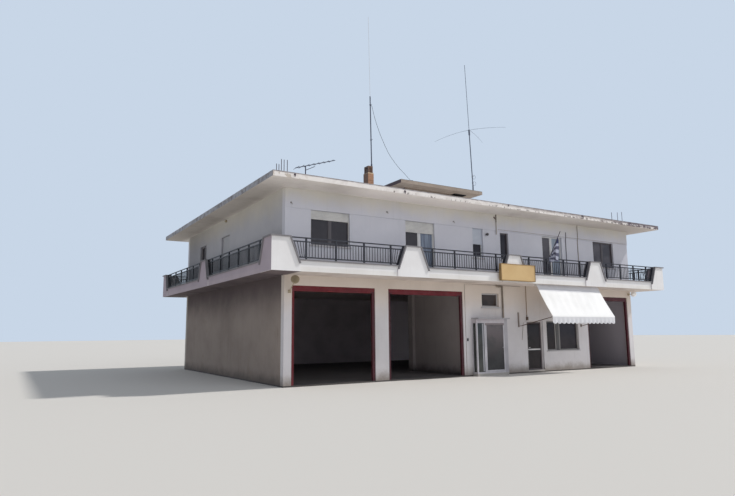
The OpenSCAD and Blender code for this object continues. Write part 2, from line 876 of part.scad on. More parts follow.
module opening_glass(o) {
    y = frame_back + (frame_d - glass_t) / 2;
    x = [o[0] + frame_w, o[0] + o[1] - frame_w];
    bar = mullion(o);
    for (p = o[1] > one_sash_w ? [[x[0], bar[0]], [bar[1], x[1]]] : [x])
        block(p, [y, y + glass_t], [o[2] + frame_w, o[3] - frame_w]);
}

module opening_shutter(o) {
    if (o[4] > 0)
        block([o[0], o[0] + o[1]], [frame_back - shutter_t, frame_back], [o[3] - o[4], o[3]]);
}

module opening_sill(o) {
    if (o[2] != upper_z)
        block([o[0] - sill_reach, o[0] + o[1] + sill_reach], [-sill_reach, -seat_gap],
            [o[2] - sill_t, o[2]]);
}

module window_frames() {
    color("#e8e8e6") from_corner() {
        for (o = concat(FRONT_OPENINGS, OFFICE_OPENINGS)) opening_frame(o);
        on_left() for (o = SIDE_OPENINGS) opening_frame(o);
        on_right() for (o = SIDE_OPENINGS) opening_frame(o);
        on_back() for (o = BACK_OPENINGS) opening_frame(o);
    }
}

module window_glass() {
    color("#20262b") from_corner() {
        for (o = concat(FRONT_OPENINGS, OFFICE_OPENINGS)) opening_glass(o);
        on_left() for (o = SIDE_OPENINGS) opening_glass(o);
        on_right() for (o = SIDE_OPENINGS) opening_glass(o);
        on_back() for (o = BACK_OPENINGS) opening_glass(o);
    }
}

module roller_shutters() {
    color("#a9abb0") from_corner() {
        for (o = FRONT_OPENINGS) opening_shutter(o);
        on_left() for (o = SIDE_OPENINGS) opening_shutter(o);
        on_right() for (o = SIDE_OPENINGS) opening_shutter(o);
        on_back() for (o = BACK_OPENINGS) opening_shutter(o);
    }
}

module window_sills() {
    color("#d8d5cf") from_corner() {
        for (o = concat(FRONT_OPENINGS, OFFICE_OPENINGS)) opening_sill(o);
        on_left() for (o = SIDE_OPENINGS) opening_sill(o);
        on_right() for (o = SIDE_OPENINGS) opening_sill(o);
        on_back() for (o = BACK_OPENINGS) opening_sill(o);
    }
}

bay_frame_y = [bay_frame_back, bay_frame_back + bay_frame_d];
bay_header_z = bay_head - bay_header_h;

module bay_jambs() {
    color("#6e1622") from_corner() for (b = BAYS) {
        block([b[0], b[0] + bay_frame_w], bay_frame_y, [floor_t, bay_header_z]);
        block([b[0] + b[1] - bay_frame_w, b[0] + b[1]], bay_frame_y, [floor_t, bay_header_z]);
    }
}

module bay_headers() {
    color("#6e1622") from_corner() for (b = BAYS)
        block([b[0], b[0] + b[1]], bay_frame_y, [bay_header_z, bay_head]);
}

// The step under the glazed entrance and the threshold of the office door.
module door_steps() {
    color("#b5afa5") from_corner() {
        block([porch_l, porch_r], [-porch_d, -seat_gap], [0, step_h]);
        block([entrance_l, entrance_l + entrance_w], [-seat_gap, wall_t], [floor_t, step_h]);
        block([office_door_l, office_door_l + office_door_w], [0, wall_t], [floor_t, step_h]);
    }
}

module porch_canopy() {
    color("#e6e2da") from_corner()
        block([porch_l - canopy_left, porch_r + canopy_right], [-canopy_d, -seat_gap],
            [porch_head, porch_head + canopy_t]);
}

porch_y = [-porch_d, -porch_d + frame_d];
return_y = [-porch_d + frame_d, -frame_d];

// The bars of the glazed entrance: fixed glass on the left, then the door, and a return of
// glass between the front and the wall.
module porch_frame() {
    return_x = [porch_l, porch_l + frame_w];
    color("#e4e4e2") from_corner() {
        block([porch_l, porch_leaf_r], porch_y, [porch_leaf_head, porch_head]);
        block([porch_l, porch_leaf_r], porch_y, [step_h, porch_sill]);
        block([porch_l, porch_l + frame_w], porch_y, [porch_sill, porch_leaf_head]);
        block([door_post_l, porch_leaf_l], porch_y, [porch_sill, porch_leaf_head]);
        block(return_x, return_y, [porch_leaf_head, porch_head]);
        block(return_x, return_y, [step_h, porch_sill]);
        block(return_x, [-frame_d, 0], [step_h, porch_head]);
        porch_knuckles(-1);
    }
}

// The closed panel right of the door and its return to the wall.
module porch_panels() {
    color("#e9e7e2") from_corner() {
        block([porch_leaf_r, porch_r], porch_y, [step_h, porch_head]);
        block([porch_r - frame_w, porch_r], [-porch_d + frame_d, 0], [step_h, porch_head]);
    }
}

module porch_side_glass() {
    inset = (frame_d - glass_t) / 2;
    color("#3d4644") from_corner() {
        block([porch_l + frame_w, door_post_l], [-porch_d + inset, -porch_d + inset + glass_t],
            [porch_sill, porch_leaf_head]);
        block([porch_l + inset, porch_l + inset + glass_t], return_y, [porch_sill, porch_leaf_head]);
    }
}

// The bars of a glazed leaf: its own corner is at its lower left, its outer face on y = 0.
module leaf_bars(w, h, mid) {
    difference() {
        cube([w, leaf_t, h]);
        block([leaf_bar, w - leaf_bar], [-1, leaf_t + 1], [leaf_bar, h - leaf_bar]);
    }
    if (mid > 0)
        block([leaf_bar, w - leaf_bar], [0, leaf_t], [mid - leaf_bar / 2, mid + leaf_bar / 2]);
}

module leaf_glass(w, h, mid) {
    y = [(leaf_t - glass_t) / 2, (leaf_t + glass_t) / 2];
    x = [leaf_bar, w - leaf_bar];
    if (mid > 0) {
        block(x, y, [leaf_bar, mid - leaf_bar / 2]);
        block(x, y, [mid + leaf_bar / 2, h - leaf_bar]);
    } else {
        block(x, y, [leaf_bar, h - leaf_bar]);
    }
}

// A lever handle on both faces of a leaf: its grip runs towards dir.
module lever(x, z, dir) {
    for (y = [[-45, 0], [leaf_t, leaf_t + 45]])
        block([x - 10, x + 10], y, [z - 10, z + 10]);
    for (y = [[-45, -30], [leaf_t + 30, leaf_t + 45]])
        block([min(x - 10 * dir, x + grip_l * dir), max(x - 10 * dir, x + grip_l * dir)], y,
            [z - 10, z + 10]);
}

handle_z = 1000;
pin_y = -knuckle_r;

// Hinge knuckles on a pin at x = 0, in front of the faces on y = 0: side is 1 for those on
// the leaf, towards +x, and -1 for those on the frame, which sit under them.
module knuckles(heights, side) {
    lift = side > 0 ? knuckle_h + seat_gap : 0;
    tab = [leaf_gap / 2 + 1, leaf_gap / 2 + 25];
    for (z = heights) translate([0, 0, z + lift]) {
        translate([0, pin_y, 0]) cylinder(r = knuckle_r, h = knuckle_h, $fn = 32);
        block(side > 0 ? tab : [-tab[1], -tab[0]], [-3, 0], [0, knuckle_h]);
    }
}

module porch_knuckles(side) {
    translate([porch_leaf_l + leaf_gap / 2, -porch_d, 0])
        knuckles([porch_sill + hinge_low, porch_leaf_head - hinge_high], side);
}

module office_knuckles(side) {
    translate([office_door_l + office_door_w - frame_w - leaf_gap / 2, office_leaf_y + leaf_t, 0])
        rotate(180) knuckles([step_h + hinge_low, office_head - frame_w - hinge_high], side);
}

porch_leaf = [porch_leaf_r - porch_leaf_l - 2 * leaf_gap,
    porch_leaf_head - porch_sill - 2 * leaf_gap];

module at_porch_leaf() {
    translate([porch_leaf_l + leaf_gap, -porch_d, porch_sill + leaf_gap]) children();
}

module porch_door() {
    color("#dededc") from_corner() {
        at_porch_leaf() {
            leaf_bars(porch_leaf[0], porch_leaf[1], 0);
            lever(porch_leaf[0] - leaf_bar / 2, handle_z, -1);
        }
        porch_knuckles(1);
    }
}

module porch_door_glass() {
    color("#4b5357") from_corner() at_porch_leaf() leaf_glass(porch_leaf[0], porch_leaf[1], 0);
}

module office_door_frame() {
    y = [frame_back - 10, frame_back - 10 + frame_d];
    color("#e8e8e6") from_corner() {
        difference() {
            block([office_door_l, office_door_l + office_door_w], y, [step_h, office_head]);
            block([office_door_l + frame_w, office_door_l + office_door_w - frame_w],
                [y[0] - 1, y[1] + 1], [step_h - 1, office_head - frame_w]);
        }
        office_knuckles(-1);
    }
}

office_leaf = [office_door_w - 2 * frame_w - 2 * leaf_gap,
    office_head - frame_w - step_h - 2 * leaf_gap];
office_leaf_y = frame_back - 10 + frame_d - leaf_t;

module at_office_leaf() {
    translate([office_door_l + frame_w + leaf_gap, office_leaf_y, step_h + leaf_gap]) children();
}

module office_door() {
    color("#e8e8e6") from_corner() {
        at_office_leaf() {
            leaf_bars(office_leaf[0], office_leaf[1], mid_bar_z - step_h);
            lever(leaf_bar / 2, handle_z, 1);
        }
        office_knuckles(1);
    }
}

module office_door_glass() {
    color("#14171a") from_corner() at_office_leaf()
        leaf_glass(office_leaf[0], office_leaf[1], mid_bar_z - step_h);
}

awning_l = office_x + awning_x;
awning_r = awning_l + awning_w;
head_front = awning_head_y + awning_head_w;

module awning_tubes() {
    color("#d8d6d0") from_corner() {
        block([awning_l, awning_r], [-head_front, -awning_head_y],
            [storey_z - awning_head_h, storey_z]);
        block([awning_l, awning_r], [-awning_reach, -awning_reach + awning_bar],
            [awning_bar_z - awning_bar, awning_bar_z]);
    }
}

// Draws an outline given in y and z between two places along the front.
module slice(outline, x0, x1) {
    translate([x0, 0, 0]) rotate([90, 0, 90]) linear_extrude(x1 - x0) polygon(outline);
}

// An arm with its rail on the wall, the arm's left side at x and the rail's at rail_x.
module awning_arm(x, rail_x) {
    foot_y = -arm_rail_d;
    head_y = -awning_reach + awning_bar;
    head_z = awning_bar_z - awning_bar / 2;
    block([rail_x, rail_x + arm_rail_w], [-arm_rail_d, 0], [arm_z - 2 * arm_t,
        arm_z - 2 * arm_t + arm_rail_h]);
    slice([[foot_y, arm_z - arm_t / 2], [foot_y, arm_z + arm_t / 2], [head_y, head_z + arm_t / 2],
        [head_y, head_z - arm_t / 2]], x, x + arm_t);
    block([min(x, rail_x), max(x, rail_x) + arm_t], [-arm_rail_d - arm_t, -arm_rail_d],
        [arm_z - arm_t / 2, arm_z + arm_t / 2]);
}

module awning_arms() {
    color("#6d6a66") from_corner() {
        awning_arm(awning_l, awning_l - arm_rail_out);
        awning_arm(awning_r - arm_t, awning_r - arm_rail_w);
    }
}

module awning_fabric() {
    top = storey_z - 15;
    bar_front = -awning_reach;
    color("#f3f1ec") from_corner() slice([[-head_front, top], [bar_front - fabric_t,
        awning_bar_z + 2 * fabric_t], [bar_front - fabric_t, awning_bar_z - valance_h],
        [bar_front, awning_bar_z - valance_h], [bar_front, awning_bar_z + seat_gap],
        [-head_front, top - 2.5 * fabric_t]], awning_l, awning_r);
}

sign_back = -reach_front - tower_reach - seat_gap;

module sign_box() {
    color("#d9b37a") from_corner()
        block([sign_x, sign_x + sign_w], [sign_back - sign_d, sign_back], [sign_z, sign_z + sign_h]);
}

// The flagpole's socket is clamped to the second post right of the middle tower.
flag_bay = tops(front_ends, FRONT_TOWERS)[2];
flag_x = flag_bay[0] + post_inset + (flag_bay[1] - flag_bay[0] - 2 * post_inset) / (front_posts - 1);
socket_back = -reach_front + (parapet_t - post_side) / 2 - seat_gap;
socket_d = 50;
pole_foot = [flag_x, socket_back - socket_d / 2, rail_mid - 60];

module flagpole() {
    color("#b9b9b7") from_corner() {
        translate(pole_foot) rotate([90 - pole_angle, 0, 0]) cylinder(r = pole_r, h = pole_l, $fn = 24);
        block([flag_x - socket_d / 2, flag_x + socket_d / 2], [socket_back - socket_d, socket_back],
            [pole_foot[2] - 80, pole_foot[2] + 10]);
    }
}

module flag() {
    top_y = pole_foot[1] - (pole_l - flag_drop) * cos(pole_angle);
    top_z = pole_foot[2] + (pole_l - flag_drop) * sin(pole_angle);
    run = flag_w * cos(pole_angle);
    under = pole_r / cos(pole_angle) + seat_gap;
    color("#8fb6dc") from_corner() slice([[top_y, top_z - under], [top_y, top_z - under - flag_h],
        [top_y + run, top_z - under - flag_h],
        [top_y + run, top_z - under - flag_w * sin(pole_angle)]],
        flag_x - flag_t / 2, flag_x + flag_t / 2);
}

module chimney() {
    cap_w = chimney_w - 2 * cap_back;
    cap_d = chimney_d - 2 * cap_back;
    cap_z = chimney_cap_h - cap_t;
    color("#8a5636") from_corner() translate([chimney_x, chimney_y, roof_top]) {
        cube([chimney_w, chimney_d, chimney_h]);
        translate([cap_back, cap_back, chimney_h]) {
            block([cap_core, cap_w - cap_core], [cap_core, cap_d - cap_core], [0, cap_z]);
            for (x = [0, cap_w - cap_post], y = [0, cap_d - cap_post])
                translate([x, y, 0]) cube([cap_post, cap_post, cap_z]);
            translate([0, 0, cap_z]) cube([cap_w, cap_d, cap_t]);
        }
    }
}

module stair_head_walls() {
    x = [head_x + head_reach, head_x + head_l - head_reach];
    y = [head_y + head_reach, head_y + head_d - head_reach];
    z = [roof_top, roof_top + head_h - head_t];
    color("#b9a78e") from_corner() difference() {
        block(x, y, z);
        block([x[0] + head_wall_t, x[1] - head_wall_t], [y[0] + head_wall_t, y[1] - head_wall_t],
            [z[0] - 1, z[1] + 1]);
    }
}

module stair_head_slab() {
    color("#a08d74") from_corner()
        block([head_x, head_x + head_l], [head_y, head_y + head_d],
            [roof_top + head_h - head_t, roof_top + head_h]);
}

foot_h = 300;
mast_1_turn = foot_h / 6;
mast_1_top = roof_top + chimney_h + chimney_cap_h;
mast_1 = [chimney_x + chimney_w - cap_back - mast_foot_r, chimney_y + cap_back + mast_foot_r, mast_1_top];
mast_2 = [mast_2_x, head_y + 4 * mast_r, roof_top + head_h];

// Each mast leans in a short upright foot.
module roof_masts() {
    color("#5c6570") from_corner() {
        translate(mast_1) {
            cylinder(r = mast_foot_r, h = 2 * mast_1_turn, $fn = 24);
            translate([0, 0, mast_1_turn]) rotate([0, -mast_1_lean, 0]) {
                cylinder(r = mast_r, h = mast_1_l - mast_1_turn, $fn = 24);
                translate([0, 0, clamp_z - mast_1_turn - clamp_h / 2])
                    cylinder(r = clamp_r, h = clamp_h, $fn = 24);
                cylinder(r = mast_r / 3, h = mast_1_l - mast_1_turn + whip_l, $fn = 16);
            }
        }
        translate(mast_2) {
            cylinder(r = mast_foot_r, h = foot_h, $fn = 24);
            translate([0, 0, foot_h / 2]) rotate([0, -mast_2_lean, 0]) {
                cylinder(r = mast_r, h = mast_fitting_z, $fn = 24);
                translate([0, 0, mast_fitting_z - foot_h])
                    cylinder(r = mast_r * 1.8, h = foot_h, $fn = 24);
                cylinder(r = mast_r / 2, h = mast_2_l - foot_h / 2, $fn = 16);
            }
        }
    }
}

// The cable's route, from the clamp on the chimney's mast to the cleat on the stair head's slab.
CABLE_ROUTE = [[4658, 1560, 11680], [4690, 1570, 11676], [4730, 1600, 11645], [4790, 1640, 11565],
    [4910, 1720, 11330], [5150, 1880, 11000], [5400, 2050, 10720], [5650, 2210, 10480],
    [5900, 2370, 10275], [6150, 2540, 10100], [6390, 2700, 9970], [6640, 2860, 9865],
    [6890, 3020, 9780], [7140, 3190, 9710], [7380, 3350, 9650], [7630, 3510, 9600],
    [7880, 3670, 9555], [8120, 3840, 9510], [8360, 4000, 9465], [8500, 4090, 9440],
    [8570, 4130, 9430], [8620, 4150, 9425], [8660, 4150, 9425]];
cable_start = CABLE_ROUTE[0];
cable_end = CABLE_ROUTE[len(CABLE_ROUTE) - 1];
cable_sides = 8;
rings_per_span = 3;
clamp_z = cable_start[2] - mast_1_top;
clamp_h = 50;
clamp_r = mast_r + 8;
cleat = [60, 40, 30];

// A point of the route by its index, held at both ends.
function route_at(i) = CABLE_ROUTE[max(0, min(len(CABLE_ROUTE) - 1, i))];

// A point on the smooth curve through the route, at a share of the way from point i to the next.
function on_curve(i, t) = let (a = route_at(i - 1), b = route_at(i), c = route_at(i + 1),
    d = route_at(i + 2)) ((2 * b) + (c - a) * t + (2 * a - 5 * b + 4 * c - d) * t * t
    + (3 * b - a - 3 * c + d) * t * t * t) / 2;

cable_curve = concat([for (i = [0:len(CABLE_ROUTE) - 2], j = [0:rings_per_span - 1])
    on_curve(i, j / rings_per_span)], [cable_end]);

function unit(v) = v / norm(v);

// The ring of points round the curve's point n.
function cable_ring(n) =
    let (last = len(cable_curve) - 1)
    let (along = n == 0 || n == last ? [1, 0, 0] : unit(cable_curve[n + 1] - cable_curve[n - 1]))
    let (side = unit(cross(along, [0, 0, 1])), up = cross(side, along))
    [for (k = [0:cable_sides - 1]) let (turn = 360 * k / cable_sides)
        cable_curve[n] + cable_r * (side * cos(turn) + up * sin(turn))];

module mast_cable() {
    last = len(cable_curve) - 1;
    points = [for (n = [0:last]) each cable_ring(n)];
    walls = [for (n = [0:last - 1], k = [0:cable_sides - 1]) let (next = (k + 1) % cable_sides)
        [n * cable_sides + k, n * cable_sides + next, (n + 1) * cable_sides + next,
            (n + 1) * cable_sides + k]];
    start_cap = [for (k = [0:cable_sides - 1]) cable_sides - 1 - k];
    end_cap = [for (k = [0:cable_sides - 1]) last * cable_sides + k];
    color("#3c4046") from_corner() polyhedron(points, concat(walls, [start_cap], [end_cap]));
}

module cable_cleat() {
    color("#5c6570") from_corner()
        translate([cable_end[0] + seat_gap, cable_end[1] - cleat[1] / 2, roof_top + head_h])
        cube(cleat);
}

rod_facets = 8;

// A rod of radius r from one point to another, rounded at its start.
module rod(from, to, r) {
    d = to - from;
    l = norm(d);
    translate(from) {
        sphere(r = r, $fn = rod_facets);
        rotate([0, acos(d[2] / l), atan2(d[1], d[0])]) cylinder(r = r, h = l, $fn = rod_facets);
    }
}

boom_r = 14;
boom_left = 400;
rods = 8;

module tv_antenna() {
    color("#74777a") from_corner() translate([antenna_x, -antenna_y, roof_top]) {
        cylinder(r = boom_r * 1.4, h = boom_z + boom_left * tan(boom_tilt), $fn = 16);
        translate([-boom_left, 0, boom_z]) rotate([0, 90 - boom_tilt, 0]) {
            cylinder(r = boom_r, h = boom_l, $fn = 16);
            for (i = [0:rods - 1]) {
                l = rod_l - i * rod_l / 25;
                translate([0, l / 2, (i + 0.2) * boom_l / rods]) rotate([90, 0, 0])
                    cylinder(r = boom_r / 2, h = l, $fn = 16);
            }
        }
        translate([0, 0, boom_z - 2 * boom_r]) rotate([0, 90 - 1.5 * boom_tilt, 0])
            cylinder(r = boom_r * 0.8, h = boom_l / 4, $fn = 16);
    }
}

// Starter bars as [pitches from the slab's end, share of the tallest bar's height].
LEFT_STARTERS = [[3.2, 0.66], [4.1, 0.65], [5, 1], [6, 0.98], [7.2, 1]];
RIGHT_STARTERS = [[23.2, 1.1], [26.8, 1], [31.5, 0.9]];
starter_y = 4.8 * starter_pitch;

module starter(x, share) {
    translate([x, starter_y - reach_front, roof_top])
        cylinder(r = starter_r, h = starter_h * share, $fn = 16);
}

module starter_bars() {
    color("#4a4046") from_corner() {
        for (s = LEFT_STARTERS) starter(s[0] * starter_pitch - reach_left, s[1]);
        for (s = RIGHT_STARTERS) starter(wall_l + reach_right - s[0] * starter_pitch, s[1]);
    }
}

plate_w = 110;
plate_d = 40;
arm_r = 14;

// A lamp's square plate on the wall and its arm, from the plate up to a point in front of it.
module lamp_arm(x, z, y_out, z_out) {
    block([x - plate_w / 2, x + plate_w / 2], [-plate_d, -seat_gap],
        [z - plate_w / 2, z + plate_w / 2]);
    rod([x, -plate_d + arm_r, z], [x, -y_out, z_out], arm_r);
}

module wall_lamps() {
    globe = [wall_l - globe_x, -globe_y, globe_z];
    color("#8c8678") from_corner() {
        translate([dish_x, -dish_y, dish_z]) rotate([90 - dish_tilt, 0, -dish_tilt])
            cylinder(r = dish_r, h = dish_r * 0.4, $fn = 48);
        lamp_arm(dish_x, dish_z - 2.5 * dish_r, dish_y + arm_r, dish_z - arm_r);
        translate(globe) sphere(r = globe_r, $fn = 48);
        lamp_arm(globe[0], globe_z, globe_y - globe_r / 2, globe_z);
        translate([bell_x, -bell_r - plate_d / 2, bell_z]) sphere(r = bell_r, $fn = 32);
        block([bell_x - bell_r / 2, bell_x + bell_r / 2], [-plate_d, -seat_gap],
            [bell_z - bell_r / 2, bell_z + bell_r / 2]);
    }
}

conduit_r = 16;

// The drain pipe onto the canopy, the conduit to the switch box and the bent pipe above.
module wall_pipes() {
    drain_y = -drain_r - plate_d / 2;
    drain_foot = porch_head + canopy_t;
    riser_y = -band_t - riser_r - seat_gap;
    color("#b8ad9b") from_corner() {
        rod([drain_x, drain_y, drain_z], [drain_x, drain_y, drain_foot], drain_r);
        rod([drain_x - drain_run, drain_y, drain_z], [drain_x, drain_y, drain_z], drain_r);
        rod([drain_x - drain_run, drain_y, drain_z], [drain_x - drain_run, drain_y, storey_z],
            drain_r);
        translate([conduit_x, -conduit_r - seat_gap, switch_z + switch_h])
            cylinder(r = conduit_r, h = storey_z - switch_z - switch_h, $fn = 16);
        block([conduit_x - switch_w / 2, conduit_x + switch_w / 2], [-switch_w * 0.7, -seat_gap],
            [switch_z, switch_z + switch_h]);
        rod([riser_x, riser_y, riser_z], [riser_x, riser_y, roof_z], riser_r);
        rod([riser_x - 6 * riser_r, riser_y, riser_z + 35 * riser_r],
            [riser_x, riser_y, riser_z + 30 * riser_r], riser_r);
    }
}

floor_slab();
front_piers();
front_lintels();
office_apron();
lower_left_wall();
lower_right_wall();
lower_back_wall();
bay_wall_stub();
upper_floor();
upper_front_wall();
upper_left_wall();
upper_right_wall();
upper_back_wall();
roof_slab();
parapet_walls();
parapet_coping();
middle_towers();
corner_towers();
front_railings();
side_railings();
back_railings();
window_frames();
window_glass();
roller_shutters();
window_sills();
bay_jambs();
bay_headers();
door_steps();
porch_canopy();
porch_frame();
porch_panels();
porch_side_glass();
porch_door();
porch_door_glass();
office_door_frame();
office_door();
office_door_glass();
awning_tubes();
awning_arms();
awning_fabric();
sign_box();
flagpole();
flag();
chimney();
stair_head_walls();
stair_head_slab();
roof_masts();
mast_cable();
cable_cleat();
tv_antenna();
starter_bars();
wall_lamps();
wall_pipes();
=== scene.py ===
import bpy
import json
import math
from mathutils import Vector, Matrix


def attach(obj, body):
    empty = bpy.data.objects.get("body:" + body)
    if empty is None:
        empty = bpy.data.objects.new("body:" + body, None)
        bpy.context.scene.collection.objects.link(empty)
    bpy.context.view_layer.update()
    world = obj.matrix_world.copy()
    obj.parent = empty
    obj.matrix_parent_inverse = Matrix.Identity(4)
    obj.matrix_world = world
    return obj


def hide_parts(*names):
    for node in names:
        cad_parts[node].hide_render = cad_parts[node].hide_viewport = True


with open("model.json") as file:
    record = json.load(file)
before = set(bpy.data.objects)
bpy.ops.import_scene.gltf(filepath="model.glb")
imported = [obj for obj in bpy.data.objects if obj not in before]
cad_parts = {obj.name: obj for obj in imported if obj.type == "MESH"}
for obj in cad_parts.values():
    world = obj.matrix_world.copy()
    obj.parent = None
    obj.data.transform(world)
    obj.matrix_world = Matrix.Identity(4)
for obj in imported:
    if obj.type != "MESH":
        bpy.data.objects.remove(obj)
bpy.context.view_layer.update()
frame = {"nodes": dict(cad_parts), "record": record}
nodes = frame["nodes"]
scene = bpy.context.scene
scene.view_settings.view_transform = "Standard"

# Sizes repeated from the part's source, in metres from the walls' left front corner.
# An opening: where it starts, width, sill, head, and how far its shutter hangs down.
WALL_L, WALL_D = 19.73, 13.25
OX, OY = -WALL_L / 2, -WALL_D / 2
REACH_FRONT = 1.28
STOREY, UPPER, ROOF, ROOF_TOP = 3.90, 4.06, 7.07, 7.27
SILL, HEAD = 5.05, 6.35
FRAME_BACK, SHUTTER_T = 0.09, 0.02
FRONT_OPENINGS = [(1.03, 1.64, SILL, HEAD, 0.33), (5.27, 1.48, UPPER, HEAD, 0.46),
                  (8.85, 0.60, SILL, HEAD, 0.70), (10.49, 0.51, SILL, HEAD - 0.08, 0),
                  (13.22, 1.37, UPPER, HEAD, 0), (16.93, 1.61, SILL, HEAD, 0)]
SIDE_OPENINGS = [(2.42, 1.05, SILL, HEAD - 0.08, 0),
                 (5.92, 1.16, UPPER, HEAD - 0.08, HEAD - 0.08 - UPPER)]
BACK_OPENINGS = [(WALL_L / 5 * i - 0.70, 1.40, SILL, HEAD, 0.33) for i in (1, 2, 3, 4)]
OFFICE_WINDOW = (13.21, 2.23, 0.95, 2.32)
AWNING_X, AWNING_SEAMS = (11.50, 15.67), 0.521
AWNING_TOP, AWNING_BAR = (0, -1.062, 3.882), (0, -1.888, 2.482)
FLAG_TIP, FLAG_ANGLE, FLAG_HOIST = (12.078, -2.053, 6.157), math.radians(58), 0.90
MAST_1 = (4.66, 1.56, ROOF_TOP + 1.65)
MAST_1_L, MAST_1_LEAN = 3.15, math.radians(0.8)
HEAD_TOP = ROOF_TOP + 2.14
MAST_2 = (12.79, 4.20, HEAD_TOP + 0.15)
MAST_2_LEAN = math.radians(2.5)
CABLE_ROUTE = [
    (4.658, 1.560, 11.680), (4.690, 1.570, 11.676), (4.730, 1.600, 11.645), (4.790, 1.640, 11.565),
    (4.910, 1.720, 11.330), (5.150, 1.880, 11.000), (5.400, 2.050, 10.720), (5.650, 2.210, 10.480),
    (5.900, 2.370, 10.275), (6.150, 2.540, 10.100), (6.390, 2.700, 9.970), (6.640, 2.860, 9.865),
    (6.890, 3.020, 9.780), (7.140, 3.190, 9.710), (7.380, 3.350, 9.650), (7.630, 3.510, 9.600),
    (7.880, 3.670, 9.555), (8.120, 3.840, 9.510), (8.360, 4.000, 9.465), (8.500, 4.090, 9.440),
    (8.570, 4.130, 9.430), (8.620, 4.150, 9.425), (8.660, 4.150, 9.425),
]


def at(x, y, z):
    """A point of the corner frame in the model's own frame."""
    return Vector((x + OX, y + OY, z))


# ---------------------------------------------------------------- camera
# Solved from the photo's perspective: turn, tilt and roll, focal length in its pixels, and place.
YAW, PITCH, ROLL = math.radians(31.555), math.radians(8.338), math.radians(-0.519)
FOCAL, PHOTO_W, SENSOR = 579.41, 735, 36
CAMERA_AT = (-8.147, -18.895, 1.839)


def camera():
    data = bpy.data.cameras.new("camera")
    data.sensor_width = SENSOR
    data.lens = FOCAL / PHOTO_W * SENSOR
    data.clip_end = 500
    cam = bpy.data.objects.new("camera", data)
    level = math.cos(PITCH)
    fwd = Vector((math.sin(YAW) * level, math.cos(YAW) * level, math.sin(PITCH)))
    right0 = Vector((math.cos(YAW), -math.sin(YAW), 0))
    up0 = right0.cross(fwd)
    right = right0 * math.cos(ROLL) + up0 * math.sin(ROLL)
    up = up0 * math.cos(ROLL) - right0 * math.sin(ROLL)
    turn = Matrix((right, up, -fwd)).transposed()
    cam.matrix_world = Matrix.Translation(at(*CAMERA_AT)) @ turn.to_4x4()
    scene.collection.objects.link(cam)
    scene.camera = cam


camera()


